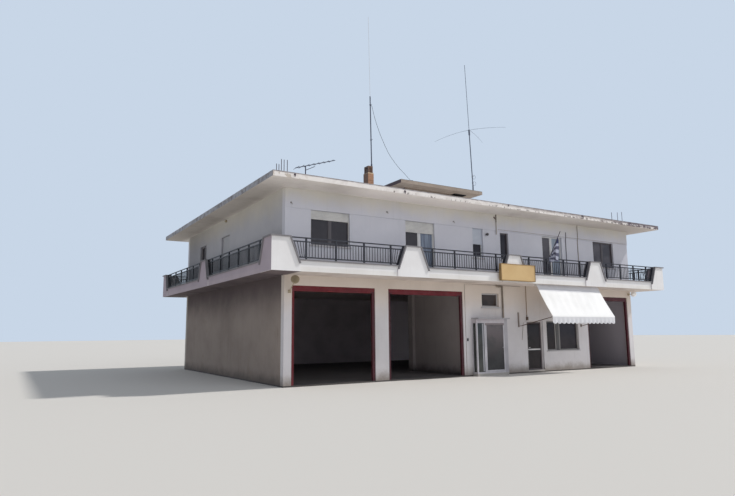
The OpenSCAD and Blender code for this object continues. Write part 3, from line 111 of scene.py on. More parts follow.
# ---------------------------------------------------------------- materials
class Mat:
    """A small builder of node materials: every method returns a socket."""

    def __init__(self, name, **shader):
        self.mat = bpy.data.materials.new(name)
        self.mat.use_nodes = True
        self.tree = self.mat.node_tree
        self.bsdf = self.tree.nodes["Principled BSDF"]
        self.geo = self.tree.nodes.new("ShaderNodeNewGeometry")
        for key, value in shader.items():
            self.bsdf.inputs[key.replace("_", " ")].default_value = value

    def node(self, kind, **attrs):
        n = self.tree.nodes.new("ShaderNode" + kind)
        for key, value in attrs.items():
            setattr(n, key, value)
        return n

    def put(self, socket, value):
        if isinstance(value, bpy.types.NodeSocket):
            self.tree.links.new(value, socket)
        elif isinstance(value, (tuple, list)) and len(value) == 3 and socket.type == "RGBA":
            socket.default_value = (*value, 1)
        else:
            socket.default_value = value

    @property
    def pos(self):
        return self.geo.outputs["Position"]

    @property
    def normal(self):
        return self.geo.outputs["Normal"]

    def scaled(self, x=1, y=1, z=1, shift=(0, 0, 0)):
        m = self.node("Mapping")
        self.put(m.inputs["Vector"], self.pos)
        m.inputs["Scale"].default_value = (x, y, z)
        m.inputs["Location"].default_value = shift
        return m.outputs["Vector"]

    def axis(self, which, vector=None):
        s = self.node("SeparateXYZ")
        self.put(s.inputs[0], vector or self.pos)
        return s.outputs[which]

    def noise(self, scale, detail=4, rough=0.55, vector=None):
        n = self.node("TexNoise")
        self.put(n.inputs["Vector"], vector or self.pos)
        n.inputs["Scale"].default_value = scale
        n.inputs["Detail"].default_value = detail
        n.inputs["Roughness"].default_value = rough
        return n.outputs["Fac"]

    def math(self, op, a, b=0.0):
        n = self.node("Math", operation=op)
        self.put(n.inputs[0], a)
        self.put(n.inputs[1], b)
        return n.outputs[0]

    def times(self, *values):
        out = values[0]
        for v in values[1:]:
            out = self.math("MULTIPLY", out, v)
        return out

    def plus(self, a, b):
        return self.math("ADD", a, b)

    def less(self, a, b):
        return self.math("LESS_THAN", a, b)

    def more(self, a, b):
        return self.math("GREATER_THAN", a, b)

    def ramp(self, value, lo, hi, a=0.0, b=1.0):
        n = self.node("MapRange", interpolation_type="SMOOTHSTEP")
        self.put(n.inputs["Value"], value)
        n.inputs["From Min"].default_value = lo
        n.inputs["From Max"].default_value = hi
        n.inputs["To Min"].default_value = a
        n.inputs["To Max"].default_value = b
        return n.outputs["Result"]

    def mix(self, fac, a, b):
        n = self.node("Mix", data_type="RGBA")
        self.put(n.inputs[0], fac)
        self.put(n.inputs[6], a)
        self.put(n.inputs[7], b)
        return n.outputs[2]

    def cloudy(self, base, dark, noise, lo, hi, share=1.0):
        """The base colour, clouded with the dark one where a noise rises from lo to hi."""
        return self.mix(self.ramp(self.noise(*noise), lo, hi, 0, share), base, dark)

    def color(self, value):
        self.put(self.bsdf.inputs["Base Color"], value)

    def rough(self, value):
        self.put(self.bsdf.inputs["Roughness"], value)

    def bump(self, height, strength=0.3, distance=0.004):
        n = self.node("Bump")
        n.inputs["Strength"].default_value = strength
        n.inputs["Distance"].default_value = distance
        self.put(n.inputs["Height"], height)
        self.put(self.bsdf.inputs["Normal"], n.outputs[0])

    def band(self, value, lo, hi, soft=0.002):
        """1 between lo and hi, 0 elsewhere."""
        return self.times(self.ramp(value, lo - soft, lo + soft),
                          self.ramp(value, hi - soft, hi + soft, 1, 0))

    def x(self, lo, hi):
        """1 between two distances along the front, in the corner frame."""
        return self.band(self.axis(0), lo + OX, hi + OX)

    def left_face(self, share=1.0):
        """The share on faces that look to the left, 0 on the others."""
        return self.ramp(self.axis(0, self.normal), -0.5, -0.8, 0, share)

    def by_face(self, under, side, top):
        """One colour on faces that look down, one on upright faces and one on the top."""
        nz = self.axis(2, self.normal)
        c = self.mix(self.ramp(nz, -0.9, -0.2), under, side)
        return self.mix(self.ramp(nz, 0.2, 0.9), c, top)

    def front_upstairs(self):
        """1 on the upper storey's front."""
        return self.times(self.less(self.axis(1), OY + 0.3), self.more(self.axis(2), UPPER))

    def side_walls(self):
        """1 on the left and right walls."""
        return self.more(self.math("ABSOLUTE", self.axis(0)), WALL_L / 2 - 0.3)

    def along(self, start, end, share=1.0):
        """Rises from 0 to the share between two distances along the front."""
        return self.ramp(self.axis(0), OX + start, OX + end, 0, share)

    def height(self, start, end, share=1.0):
        """Rises from 0 to the share between two heights."""
        return self.ramp(self.axis(2), start, end, 0, share)

    def indoors(self, inset=0.24):
        """1 inside the walls, from that far in."""
        ax = self.math("ABSOLUTE", self.axis(0))
        ay = self.math("ABSOLUTE", self.axis(1))
        return self.times(self.less(ax, WALL_L / 2 - inset), self.less(ay, WALL_D / 2 - inset))


def rgb(r, g, b):
    """A colour written as the eye reads it (0 to 255), as linear numbers."""
    def lin(c):
        c /= 255
        return c / 12.92 if c <= 0.04045 else ((c + 0.055) / 1.055) ** 2.4
    return (lin(r), lin(g), lin(b))


def weathered(m, base, dark, warm=None, streak=0.5):
    """Cloudy paint with rain streaks and small stains."""
    c = m.cloudy(base, dark, (0.55, 5, 0.6), 0.35, 0.75, 0.5)
    if warm:
        c = m.cloudy(c, warm, (1.7, 6, 0.65), 0.55, 0.8, 0.5)
    c = m.cloudy(c, dark, (1.0, 5, 0.6, m.scaled(7, 7, 0.45)), 0.56, 0.78, streak)
    return m.cloudy(c, dark, (14, 3, 0.7), 0.66, 0.82, 0.35)


def grain(m):
    """The fine and the broad unevenness of render and concrete."""
    m.bump(m.plus(m.noise(60, 4, 0.7), m.times(m.noise(4, 3), 1.5)), 0.35, 0.006)


MATS = {}
# Scale, detail and roughness of the noise that clouds every coat of paint.
PAINT_CLOUD = (2.2, 5, 0.6)


def plaster(name, base, dark, warm=None, foot=None, streak=0.5, inner=None, right_inner=None,
            high=None, shade=None, dims=()):
    """Painted render, with grime over its foot, another colour high up, painted shade on faces
    that look to the left, parts that get duller along an axis and a plainer coat indoors."""
    m = Mat(name, Roughness=0.9)
    c = weathered(m, base, dark, warm, streak)
    if high:
        low_z, high_z, pale, worn = high
        rise = m.plus(m.axis(2), m.times(m.noise(0.9, 4), 0.8))
        c = m.mix(m.ramp(rise, low_z, high_z), c, weathered(m, pale, worn, None, 0.25))
    # Painted shade: a duller copy of the coat on faces that look to the left.
    if shade:
        c = m.mix(m.left_face(), c, weathered(m, *shade, None, 0.3))
    for axis, start, end, share in dims:
        c = m.mix(m.ramp(m.axis(axis), start, end, 0, share), c, rgb(60, 60, 72))
    if foot:
        edge = m.plus(m.axis(2), m.times(m.noise(2.3, 6, 0.7), -0.5))
        c = m.mix(m.ramp(edge, -0.25, 0.28, 0.85, 0.0), c, foot)
    if inner:
        inside = m.cloudy(inner, tuple(v * 0.82 for v in inner), (0.9, 5), 0.35, 0.7)
        if right_inner:
            inside = m.mix(m.more(m.axis(0), WALL_L / 2 - 0.4), inside, right_inner)
            inside = m.mix(m.x(12.2, 15.5), inside, rgb(238, 230, 238))
        c = m.mix(m.indoors(), c, inside)
    m.color(c)
    grain(m)
    MATS[name] = m.mat


plaster("ground_wall", rgb(218, 215, 218), rgb(192, 188, 190), rgb(204, 198, 194),
        rgb(120, 110, 100), inner=rgb(172, 164, 170),
        high=(2.6, 4.0, rgb(224, 213, 203), rgb(202, 189, 179)))
plaster("shade_wall", rgb(196, 190, 182), rgb(160, 152, 144), rgb(176, 166, 150),
        rgb(104, 96, 90), inner=rgb(184, 176, 182), right_inner=rgb(190, 184, 194))
# Its foot is much darker: this wall gets darker towards the floor.
plaster("bay_wall_stub", rgb(160, 152, 151), rgb(134, 126, 125), foot=rgb(46, 42, 44))
plaster("upper_wall", rgb(214, 215, 225), rgb(196, 197, 208), streak=0.3,
        inner=rgb(170, 168, 164), high=(6.75, 7.5, rgb(222, 218, 210), rgb(206, 202, 194)))
# Darker towards its far end, and painted shade low down behind the railing.
plaster("upper_left_wall", rgb(192, 192, 198), rgb(172, 172, 180), streak=0.4,
        inner=rgb(170, 168, 164), high=(6.4, 7.4, rgb(209, 205, 197), rgb(188, 183, 175)),
        dims=((1, 0.0, 6.6, 0.42), (2, 5.8, 5.3, 0.2)))
# Painted shade: this coat is darker than the front's, and darkest high up under the balcony.
plaster("lower_left_wall", rgb(158, 146, 138), rgb(124, 112, 106), rgb(140, 126, 112),
        rgb(92, 84, 80), inner=rgb(184, 176, 182),
        high=(2.6, 4.2, rgb(98, 86, 86), rgb(76, 66, 67)))
# The parapet's faces that look to the left get painted shade, in lilac.
plaster("parapet", rgb(238, 237, 238), rgb(216, 213, 213), streak=0.4,
        shade=(rgb(184, 172, 182), rgb(160, 148, 158)))
plaster("coping", rgb(138, 136, 140), rgb(108, 105, 109), streak=0.4)
plaster("floor", rgb(84, 80, 79), rgb(58, 55, 55), rgb(70, 65, 62), streak=0.2)
plaster("door_steps", rgb(176, 172, 168), rgb(140, 136, 132), rgb(150, 142, 132))
plaster("window_sills", rgb(196, 194, 197), rgb(170, 167, 170), streak=0.3)
plaster("porch_canopy", rgb(168, 166, 170), rgb(138, 136, 140))


def slab():
    """Painted slab edges, a warm soffit and a bare floor on top, with painted shade on the edges
    that look to the left and on the soffit left of the corner.
    """
    m = Mat("slab", Roughness=0.9)
    side = weathered(m, rgb(236, 234, 232), rgb(212, 208, 204), None, 0.4)
    # Painted shade on the slab's edges that look to the left.
    painted_left_shade = weathered(m, rgb(188, 176, 184), rgb(166, 154, 162), None, 0.3)
    side = m.mix(m.left_face(), side, painted_left_shade)
    under = m.cloudy(rgb(216, 206, 200), rgb(190, 179, 172), (0.7, 5, 0.6), 0.4, 0.7)
    under = m.cloudy(under, rgb(150, 136, 118), (5, 6, 0.7), 0.6, 0.75, 0.5)
    # Painted shade: the soffit left of the corner is much darker.
    left = m.cloudy(rgb(104, 92, 94), rgb(82, 72, 76), (0.7, 5, 0.6), 0.4, 0.7)
    under = m.mix(m.along(0.15, -0.02), under, left)
    top = m.cloudy(rgb(186, 182, 176), rgb(140, 134, 128), (2.2, 6, 0.6), 0.4, 0.65)
    m.color(m.mix(m.indoors(0.0), m.by_face(under, side, top), rgb(226, 218, 216)))
    grain(m)
    return m.mat


MATS["slab"] = slab()


def bare_deck(m):
    """Stained concrete, on the roof and on the stair head's slab."""
    return m.cloudy(rgb(150, 144, 137), rgb(116, 110, 105), (0.9, 9, 0.72), 0.34, 0.72)


def fascia_wear(m, rim):
    """Where the paint has gone: more to the right and high up, and all along the rim."""
    patch = m.noise(1.9, 8, 0.68, m.scaled(0.8, 0.8, 2.0))
    to_right = m.ramp(m.axis(0), -4, 11, -0.10, 0.20)
    upwards = m.height(ROOF + 0.10, ROOF_TOP - 0.01, 0.20)
    wear = m.ramp(m.plus(m.plus(patch, to_right), upwards), 0.62, 0.70)
    wear = m.math("MAXIMUM", wear, m.ramp(rim, ROOF_TOP - 0.062, ROOF_TOP - 0.045, 0, 0.75))
    band = m.times(m.along(8.5, 11), m.ramp(rim, ROOF_TOP - 0.16, ROOF_TOP - 0.11, 0, 0.75),
                   m.ramp(m.noise(2.3, 7, 0.7, m.scaled(0.5, 0.5, 1)), 0.32, 0.46))
    return m.math("MAXIMUM", wear, band)


def fascia_soffit(m):
    """The eaves' underside: palest over the first windows, duller to the right, with painted shade
    on the left.
    """
    under = m.cloudy(rgb(232, 226, 221), rgb(214, 207, 202), (0.6, 5, 0.6), 0.4, 0.7)
    under = m.mix(m.ramp(m.axis(0), 2, 9), under, rgb(208, 200, 194))
    middle = m.times(m.along(1.5, 3.5), m.along(10, 7))
    under = m.mix(middle, under, rgb(250, 243, 239))
    # Painted shade under the eaves on the building's left side.
    left = m.cloudy(rgb(200, 193, 186), rgb(176, 168, 160), (0.6, 5, 0.6), 0.4, 0.7)
    left_shade_mask = m.times(m.along(0.1, -0.3), m.ramp(m.axis(1), OY - 0.7, OY + 1.4))
    return m.mix(left_shade_mask, under, left)


def fascia():
    """The roof slab: white paint worn to stained concrete, with rusty spots, chips along its lower
    edge, painted shade along its top rim and painted shade on its left edge."""
    m = Mat("roof_slab", Roughness=0.92)
    rim = m.plus(m.axis(2), m.times(m.noise(2.7, 6, 0.7), -0.06))
    wear = fascia_wear(m, rim)
    white = m.cloudy(rgb(238, 233, 230), rgb(220, 213, 209), (3.1, 5), 0.4, 0.75)
    end = m.along(16, 18.5)
    pale = m.mix(end, rgb(182, 174, 172), rgb(126, 116, 122))
    dark = m.mix(end, rgb(140, 129, 126), rgb(82, 73, 82))
    side = m.mix(wear, white, m.cloudy(pale, dark, (6.5, 6, 0.7), 0.4, 0.62))
    spots = m.scaled(1, 1, 0.5, (3, 7, 1))
    side = m.cloudy(side, rgb(124, 92, 72), (5.3, 4, 0.6, spots), 0.66, 0.72, 0.7)
    stains = m.ramp(m.noise(4.6, 5, 0.7, m.scaled(1, 1, 0.7, (2, 5, 3))), 0.52, 0.60, 0, 0.6)
    side = m.mix(m.times(m.along(0.6, -0.4), stains), side, rgb(164, 148, 128))
    chips = m.times(m.ramp(m.noise(3.4, 6, 0.75, m.scaled(1, 1, 0.6, (9, 2, 4))), 0.53, 0.58),
                    m.height(ROOF + 0.10, ROOF + 0.03), m.ramp(m.axis(0), -7, -6))
    side = m.mix(m.times(chips, 0.85), side, rgb(88, 76, 74))
    # Painted shade: a grey band along the top rim.
    shaded_lip = m.cloudy(rgb(146, 143, 148), rgb(108, 103, 108), (5, 5), 0.4, 0.65)
    side = m.mix(m.ramp(rim, ROOF_TOP - 0.085, ROOF_TOP - 0.06, 0, 0.7), side, shaded_lip)
    # Painted shade on the faces that look to the left.
    shade = m.cloudy(rgb(170, 172, 180), rgb(124, 120, 122), (4.2, 6, 0.7), 0.42, 0.66)
    side = m.mix(m.ramp(m.axis(0, m.normal), -0.4, -0.6), side, shade)
    m.color(m.by_face(fascia_soffit(m), side, bare_deck(m)))
    rough = m.times(m.math("MAXIMUM", wear, chips), -0.8)
    m.bump(m.plus(rough, m.noise(40, 5, 0.7)), 0.5, 0.01)
    return m.mat


MATS["roof_slab"] = fascia()


def satin(m, rough):
    """A roughness that varies a little round the one given, and a fine orange peel."""
    m.rough(m.ramp(m.noise(6, 4), 0.3, 0.7, rough - 0.08, rough + 0.14))
    m.bump(m.noise(90, 3), 0.12, 0.002)


def paint(name, base, dark, rough=0.45, chips=None):
    """Clouded paint, with chips where a colour for them is given."""
    m = Mat(name, Roughness=rough)
    c = m.cloudy(base, dark, PAINT_CLOUD, 0.35, 0.75, 0.7)
    if chips:
        c = m.cloudy(c, chips, (9, 6, 0.7), 0.64, 0.70, 0.85)
    m.color(c)
    satin(m, rough)
    MATS[name] = m.mat


paint("railing", rgb(25, 26, 40), rgb(16, 17, 26), 0.42, rgb(52, 46, 48))
# A darker copy of the railing's paint: painted shade for the railings on the shaded sides.
paint("side_railings", rgb(12, 13, 22), rgb(8, 9, 15), 0.42, rgb(36, 32, 34))
paint("white_metal", rgb(224, 223, 221), rgb(198, 195, 190), 0.45)
paint("antenna", rgb(70, 72, 96), rgb(50, 52, 74), 0.5)
paint("cable", rgb(58, 62, 70), rgb(44, 47, 54), 0.55)
paint("hook", rgb(150, 146, 146), rgb(112, 108, 110), 0.5, rgb(128, 104, 84))
paint("thin_pipe", rgb(164, 154, 148), rgb(138, 130, 126), 0.55)
paint("grey_conduit", rgb(112, 110, 116), rgb(88, 86, 92), 0.55)
paint("flagpole", rgb(78, 76, 84), rgb(56, 54, 62), 0.45)
paint("office_door_frame", rgb(208, 202, 202), rgb(184, 178, 178), 0.6)
paint("porch_panels", rgb(170, 167, 173), rgb(150, 147, 154), 0.55)
paint("stile_paint", rgb(160, 160, 166), rgb(138, 138, 145), 0.5)
paint("sign_rim", rgb(158, 126, 80), rgb(132, 104, 66), 0.5)


def two_paints(name, first, second, split, rough):
    """Paint of a first colour, and of a second where split(m) is 1; each is (colour, dark)."""
    m = Mat(name, Roughness=rough)
    cloud = m.ramp(m.noise(*PAINT_CLOUD), 0.35, 0.75, 0, 0.7)
    m.color(m.mix(split(m), m.mix(cloud, *first), m.mix(cloud, *second)))
    satin(m, rough)
    MATS[name] = m.mat


def dark_jambs(m):
    """The jambs in shade: the first bay's right one, both of the second, all of the third."""
    low = m.less(m.axis(2), 3.4)
    near = m.plus(m.x(3.6, 3.8), m.plus(m.x(4.4, 4.6), m.x(7.9, 8.2)))
    return m.plus(m.more(m.axis(0), 6), m.times(near, low))


two_paints("red_steel", (rgb(106, 18, 30), rgb(82, 14, 25)), (rgb(76, 22, 34), rgb(54, 17, 27)),
           dark_jambs, 0.6)
two_paints("starter", (rgb(90, 80, 92), rgb(66, 56, 66)),
           (rgb(138, 138, 152), rgb(108, 106, 122)), lambda m: m.more(m.axis(0), 8), 0.85)
two_paints("awning_arms", (rgb(92, 74, 62), rgb(66, 52, 44)),
           (rgb(146, 134, 128), rgb(118, 106, 102)), lambda m: m.more(m.axis(1), OY - 0.13), 0.5)


def frames():
    """White sashes; brown ones on some windows of the balcony and grey ones on the office's."""
    m = Mat("white_frame", Roughness=0.42)
    c = m.cloudy(rgb(222, 222, 224), rgb(198, 198, 200), PAINT_CLOUD, 0.35, 0.75, 0.6)
    dark = m.plus(m.plus(m.x(0.9, 2.8), m.x(10.3, 11.1)), m.x(16.8, 18.6))
    c = m.mix(m.times(m.front_upstairs(), dark), c, rgb(80, 74, 78))
    c = m.mix(m.side_walls(), c, rgb(126, 120, 122))
    office = m.times(m.x(13.1, 15.5), m.less(m.axis(2), 2.4))
    c = m.mix(office, c, rgb(138, 135, 134))
    c = m.mix(m.times(office, m.x(13.94, 14.125)), c, rgb(84, 82, 82))
    small = m.times(m.x(9.1, 10.4), m.less(m.axis(2), STOREY))
    m.color(m.mix(small, c, rgb(184, 180, 180)))
    m.bump(m.noise(90, 3), 0.1, 0.002)
    return m.mat


MATS["white_frame"] = frames()


def office_leaf():
    """The office door: brown stiles, head and bottom rail, with a white middle bar."""
    m = Mat("office_leaf", Roughness=0.45)
    brown = m.cloudy(rgb(78, 66, 70), rgb(60, 51, 56), PAINT_CLOUD, 0.35, 0.75)
    white = m.cloudy(rgb(216, 214, 216), rgb(190, 188, 190), PAINT_CLOUD, 0.35, 0.75)
    bars = m.times(m.x(12.045, 12.84), m.band(m.axis(2), 0.25, 2.13))
    m.color(m.mix(bars, brown, white))
    m.bump(m.noise(90, 3), 0.1, 0.002)
    return m.mat


MATS["office_door"] = office_leaf()


def porch_paint():
    """Lilac-grey paint of the glazed entrance, with a duller board over the door."""
    m = Mat("porch_paint", Roughness=0.5)
    c = m.cloudy(rgb(196, 194, 200), rgb(176, 173, 180), PAINT_CLOUD, 0.35, 0.75)
    board = m.cloudy(rgb(196, 190, 196), rgb(178, 172, 178), (3.1, 5, 0.6), 0.35, 0.75)
    c = m.mix(m.times(m.x(9.1, 10.2), m.ramp(m.axis(2), 2.10, 2.12)), c, rgb(136, 126, 128))
    m.color(m.mix(m.ramp(m.axis(2), 2.205, 2.215), c, board))
    m.bump(m.noise(90, 3), 0.12, 0.002)
    return m.mat


MATS["porch_frame"] = MATS["porch_door"] = porch_paint()


def masts():
    """Slate-coloured tubes and the white whip over the left one."""
    m = Mat("mast", Roughness=0.5)
    c = m.cloudy(rgb(84, 92, 112), rgb(64, 71, 90), (3, 4), 0.35, 0.7)
    whip = m.times(m.x(4.4, 4.85), m.more(m.axis(2), MAST_1[2] + MAST_1_L))
    m.color(m.mix(whip, c, rgb(214, 218, 226)))
    m.bump(m.noise(70, 3), 0.15, 0.002)
    return m.mat


MATS["mast"] = masts()


def glass():
    """Dark panes: curtains with painted fold shade behind the balcony doors' right panes, a
    painted sky reflection in some windows upstairs, dim ones at the office and a brownish one over
    the entrance."""
    m = Mat("glass", Roughness=0.1, IOR=1.45)
    m.bsdf.inputs["Specular IOR Level"].default_value = 0.3
    c = m.cloudy(rgb(50, 45, 52), rgb(36, 32, 40), (1.3, 3), 0.35, 0.7)
    up = m.front_upstairs()
    # Painted shade: light and dark stripes where the curtains fold.
    fold = m.ramp(m.noise(9, 2, 0.5, m.scaled(3, 1, 0.12)), 0.35, 0.65)
    blue = m.mix(fold, rgb(140, 152, 170), rgb(98, 108, 128))
    c = m.mix(m.times(up, m.x(6.0, 6.8)), c, blue)
    pale = m.mix(fold, rgb(160, 170, 184), rgb(124, 134, 150))
    c = m.mix(m.times(up, m.x(13.9, 14.6)), c, pale)
    # A painted sky reflection in some upstairs panes.
    sky = m.cloudy(rgb(98, 94, 100), rgb(72, 69, 76), (1.1, 3), 0.35, 0.7)
    c = m.mix(m.times(up, m.plus(m.x(13.2, 13.9), m.x(16.9, 18.6))), c, sky)
    low = m.times(m.less(m.axis(1), OY + 0.3), m.less(m.axis(2), STOREY))
    dim = m.cloudy(rgb(42, 36, 39), rgb(30, 26, 29), (1.6, 3), 0.35, 0.7)
    c = m.mix(m.times(low, m.x(11.9, 14.0)), c, dim)
    brown = m.cloudy(rgb(72, 62, 58), rgb(50, 43, 42), (1.6, 3), 0.35, 0.7)
    c = m.mix(m.times(low, m.x(9.2, 10.3)), c, brown)
    m.color(c)
    m.bump(m.noise(1.1, 2), 0.05, 0.01)
    return m.mat


MATS["glass"] = glass()


def porch_glass():
    """Grey panes with painted light that makes them lighter upwards, as a dim hall behind them
    gives.
    """
    m = Mat("porch_glass", Roughness=0.1, IOR=1.45)
    m.bsdf.inputs["Specular IOR Level"].default_value = 0.3
    # Painted light: darker low down, lighter high up.
    c = m.mix(m.height(0.4, 2.2), rgb(48, 48, 52), rgb(112, 104, 106))
    m.color(m.cloudy(c, rgb(68, 70, 72), (2.1, 4), 0.4, 0.7, 0.6))
    m.bump(m.noise(1.1, 2), 0.05, 0.01)
    return m.mat


MATS["porch_door_glass"] = porch_glass()


def side_glass():
    """Dark, slightly green panes beside the entrance's door."""
    m = Mat("porch_side_glass", Roughness=0.08, IOR=1.5)
    m.color(m.cloudy(rgb(60, 63, 62), rgb(40, 43, 43), (2.1, 4), 0.35, 0.7))
    m.bump(m.noise(1.1, 2), 0.05, 0.01)
    return m.mat


MATS["porch_side_glass"] = side_glass()


def lamps():
    """Brownish lamps, the grey bell upstairs and the milky globe at the right corner."""
    m = Mat("lamp", Roughness=0.45)
    c = m.cloudy(rgb(178, 164, 138), rgb(146, 134, 110), (3, 5), 0.35, 0.7)
    globe = m.times(m.more(m.axis(0), OX + WALL_L - 0.4), m.less(m.axis(1), OY - 0.17))
    bell = m.times(m.x(9.5, 9.8), m.more(m.axis(2), UPPER))
    c = m.mix(bell, c, rgb(88, 86, 88))
    m.color(m.mix(globe, c, rgb(255, 255, 255)))
    m.bump(m.noise(50, 3), 0.15, 0.002)
    return m.mat


MATS["lamp"] = lamps()


def pipes():
    """Pipes on the walls: pale upstairs with a brown top, and by the office door brown below
    and tan above."""
    m = Mat("wall_pipes", Roughness=0.55)
    c = m.cloudy(rgb(150, 138, 126), rgb(118, 107, 96), (2, 5), 0.35, 0.7)
    high = m.mix(m.ramp(m.axis(2), 6.70, 6.74), rgb(182, 176, 172), rgb(104, 92, 84))
    c = m.mix(m.more(m.axis(2), UPPER), c, high)
    switch = m.mix(m.ramp(m.axis(2), 2.55, 2.60), rgb(92, 76, 64), rgb(160, 136, 114))
    m.color(m.mix(m.x(11.8, 12.1), c, switch))
    m.bump(m.noise(50, 3), 0.15, 0.002)
    return m.mat


MATS["wall_pipes"] = pipes()


def sign():
    """A bare board: ochre face, brown edges."""
    m = Mat("sign", Roughness=0.45)
    face = m.cloudy(rgb(212, 180, 128), rgb(204, 170, 118), (1.6, 5), 0.35, 0.75)
    face = m.cloudy(face, rgb(180, 140, 88), (12, 4, 0.7), 0.62, 0.8, 0.5)
    ny = m.math("ABSOLUTE", m.axis(1, m.normal))
    m.color(m.mix(m.more(ny, 0.7), rgb(150, 122, 80), face))
    m.bump(m.noise(60, 3), 0.12, 0.002)
    return m.mat


MATS["sign"] = sign()


def bricks():
    """The chimney: terracotta courses with pale joints, soot under the cap and painted shade on
    its left face.
    """
    m = Mat("chimney", Roughness=0.9)
    v = m.node("CombineXYZ")
    m.put(v.inputs[0], m.plus(m.axis(0), m.axis(1)))
    m.put(v.inputs[1], m.axis(2))
    b = m.node("TexBrick", offset=0.5)
    m.put(b.inputs["Vector"], v.outputs[0])
    for key, value in (("Scale", 1.0), ("Mortar Size", 0.006), ("Brick Width", 0.23),
                       ("Row Height", 0.08), ("Bias", 0.0), ("Mortar Smooth", 0.1)):
        b.inputs[key].default_value = value
    m.put(b.inputs["Color1"], rgb(190, 142, 112))
    m.put(b.inputs["Color2"], rgb(162, 118, 94))
    m.put(b.inputs["Mortar"], rgb(186, 164, 140))
    c = m.mix(m.ramp(m.noise(6, 5, 0.7), 0.5, 0.75, 0, 0.6), b.outputs["Color"], rgb(128, 94, 78))
    c = m.mix(m.height(ROOF_TOP + 1.34, ROOF_TOP + 1.36, 0.7), c, rgb(78, 66, 64))
    joint = m.band(m.axis(2), ROOF_TOP + 1.31, ROOF_TOP + 1.345)
    c = m.mix(m.times(joint, 0.7), c, rgb(232, 214, 178))
    # Painted shade on the face that looks to the left.
    m.color(m.mix(m.left_face(0.6), c, rgb(112, 104, 106)))
    m.bump(m.plus(m.times(b.outputs["Fac"], -2.0), m.noise(50, 4)), 0.5, 0.006)
    return m.mat


MATS["chimney"] = bricks()


def roof_room():
    """Bare render on the stair head, with a pale soffit, a dark rim on its slab and painted shade
    on its left faces.
    """
    m = Mat("roof_room", Roughness=0.92)
    side = weathered(m, rgb(180, 166, 154), rgb(142, 128, 116), rgb(124, 106, 92), 0.6)
    side = m.mix(m.height(HEAD_TOP - 0.03, HEAD_TOP - 0.005, 0.7), side, rgb(96, 90, 88))
    # Painted shade on the faces that look to the left.
    side = m.mix(m.left_face(), side, rgb(104, 94, 102))
    under = m.cloudy(rgb(255, 246, 240), rgb(236, 224, 216), (1.6, 5, 0.65), 0.35, 0.7)
    m.color(m.by_face(under, side, bare_deck(m)))
    grain(m)
    return m.mat


MATS["roof_room"] = roof_room()


def shutter():
    """Off-white slats, dusty in streaks, greyer at the sides and bluish on one window."""
    m = Mat("shutter", Roughness=0.6)
    c = m.cloudy(rgb(216, 215, 213), rgb(202, 201, 200), (3, 4), 0.4, 0.7)
    streaks = m.scaled(9, 9, 0.6)
    c = m.cloudy(c, rgb(182, 178, 174), (1, 5, 0.6, streaks), 0.62, 0.85, 0.3)
    c = m.mix(m.side_walls(), c, rgb(182, 182, 186))
    m.color(m.mix(m.x(8.8, 9.5), c, rgb(196, 202, 214)))
    m.bump(m.noise(60, 3), 0.15, 0.002)
    return m.mat


MATS["shutter"] = shutter()


def canvas():
    """White awning canvas: woven, with faint seams, dust, and shade at its top and valance."""
    m = Mat("fabric", Roughness=0.85)
    m.bsdf.inputs["Sheen Weight"].default_value = 0.15
    c = m.cloudy(rgb(248, 248, 248), rgb(238, 238, 237), (0.8, 4), 0.4, 0.7)
    dust = m.scaled(4, 0.6, 0.6)
    c = m.cloudy(c, rgb(214, 210, 204), (1.2, 6, 0.65, dust), 0.55, 0.8, 0.3)
    top = m.plus(m.axis(2), m.times(m.noise(0.9, 3), 0.16))
    c = m.mix(m.ramp(top, 3.64, 3.72, 0, 0.75), c, rgb(204, 205, 213))
    c = m.mix(m.height(2.47, 2.44, 0.8), c, rgb(214, 215, 221))
    seam = m.math("PINGPONG", m.plus(m.axis(0), -OX - AWNING_X[0]), AWNING_SEAMS)
    m.color(m.mix(m.ramp(seam, 0.0, 0.008, 0.3, 0), c, rgb(200, 198, 194)))
    thread = 2400
    weave = m.times(m.math("SINE", m.times(m.axis(0), thread)),
                    m.math("SINE", m.times(m.axis(2), thread)))
    m.bump(m.plus(m.times(weave, 0.3), m.noise(24, 3)), 0.2, 0.002)
    return m.mat


MATS["fabric"] = canvas()
MATS["flag"] = MATS["fabric"]

slots = {s["node"]: s["material_slot"] for s in frame["record"]["subparts"]}
for name, obj in nodes.items():
    obj.data.materials.clear()
    obj.data.materials.append(MATS.get(name, MATS[slots[name]]))
    for p in obj.data.polygons:
        p.material_index = 0


# ---------------------------------------------------------------- pieces
def ring(c, t, r, sides):
    """Points on a circle of radius r round c, square to the direction t."""
    side = t.cross(Vector((0, 0, 1)) if abs(t.z) < 0.9 else Vector((1, 0, 0))).normalized()
    up = side.cross(t)
    return [c + side * r * math.cos(a) + up * r * math.sin(a)
            for a in (2 * math.pi * s / sides for s in range(sides))]


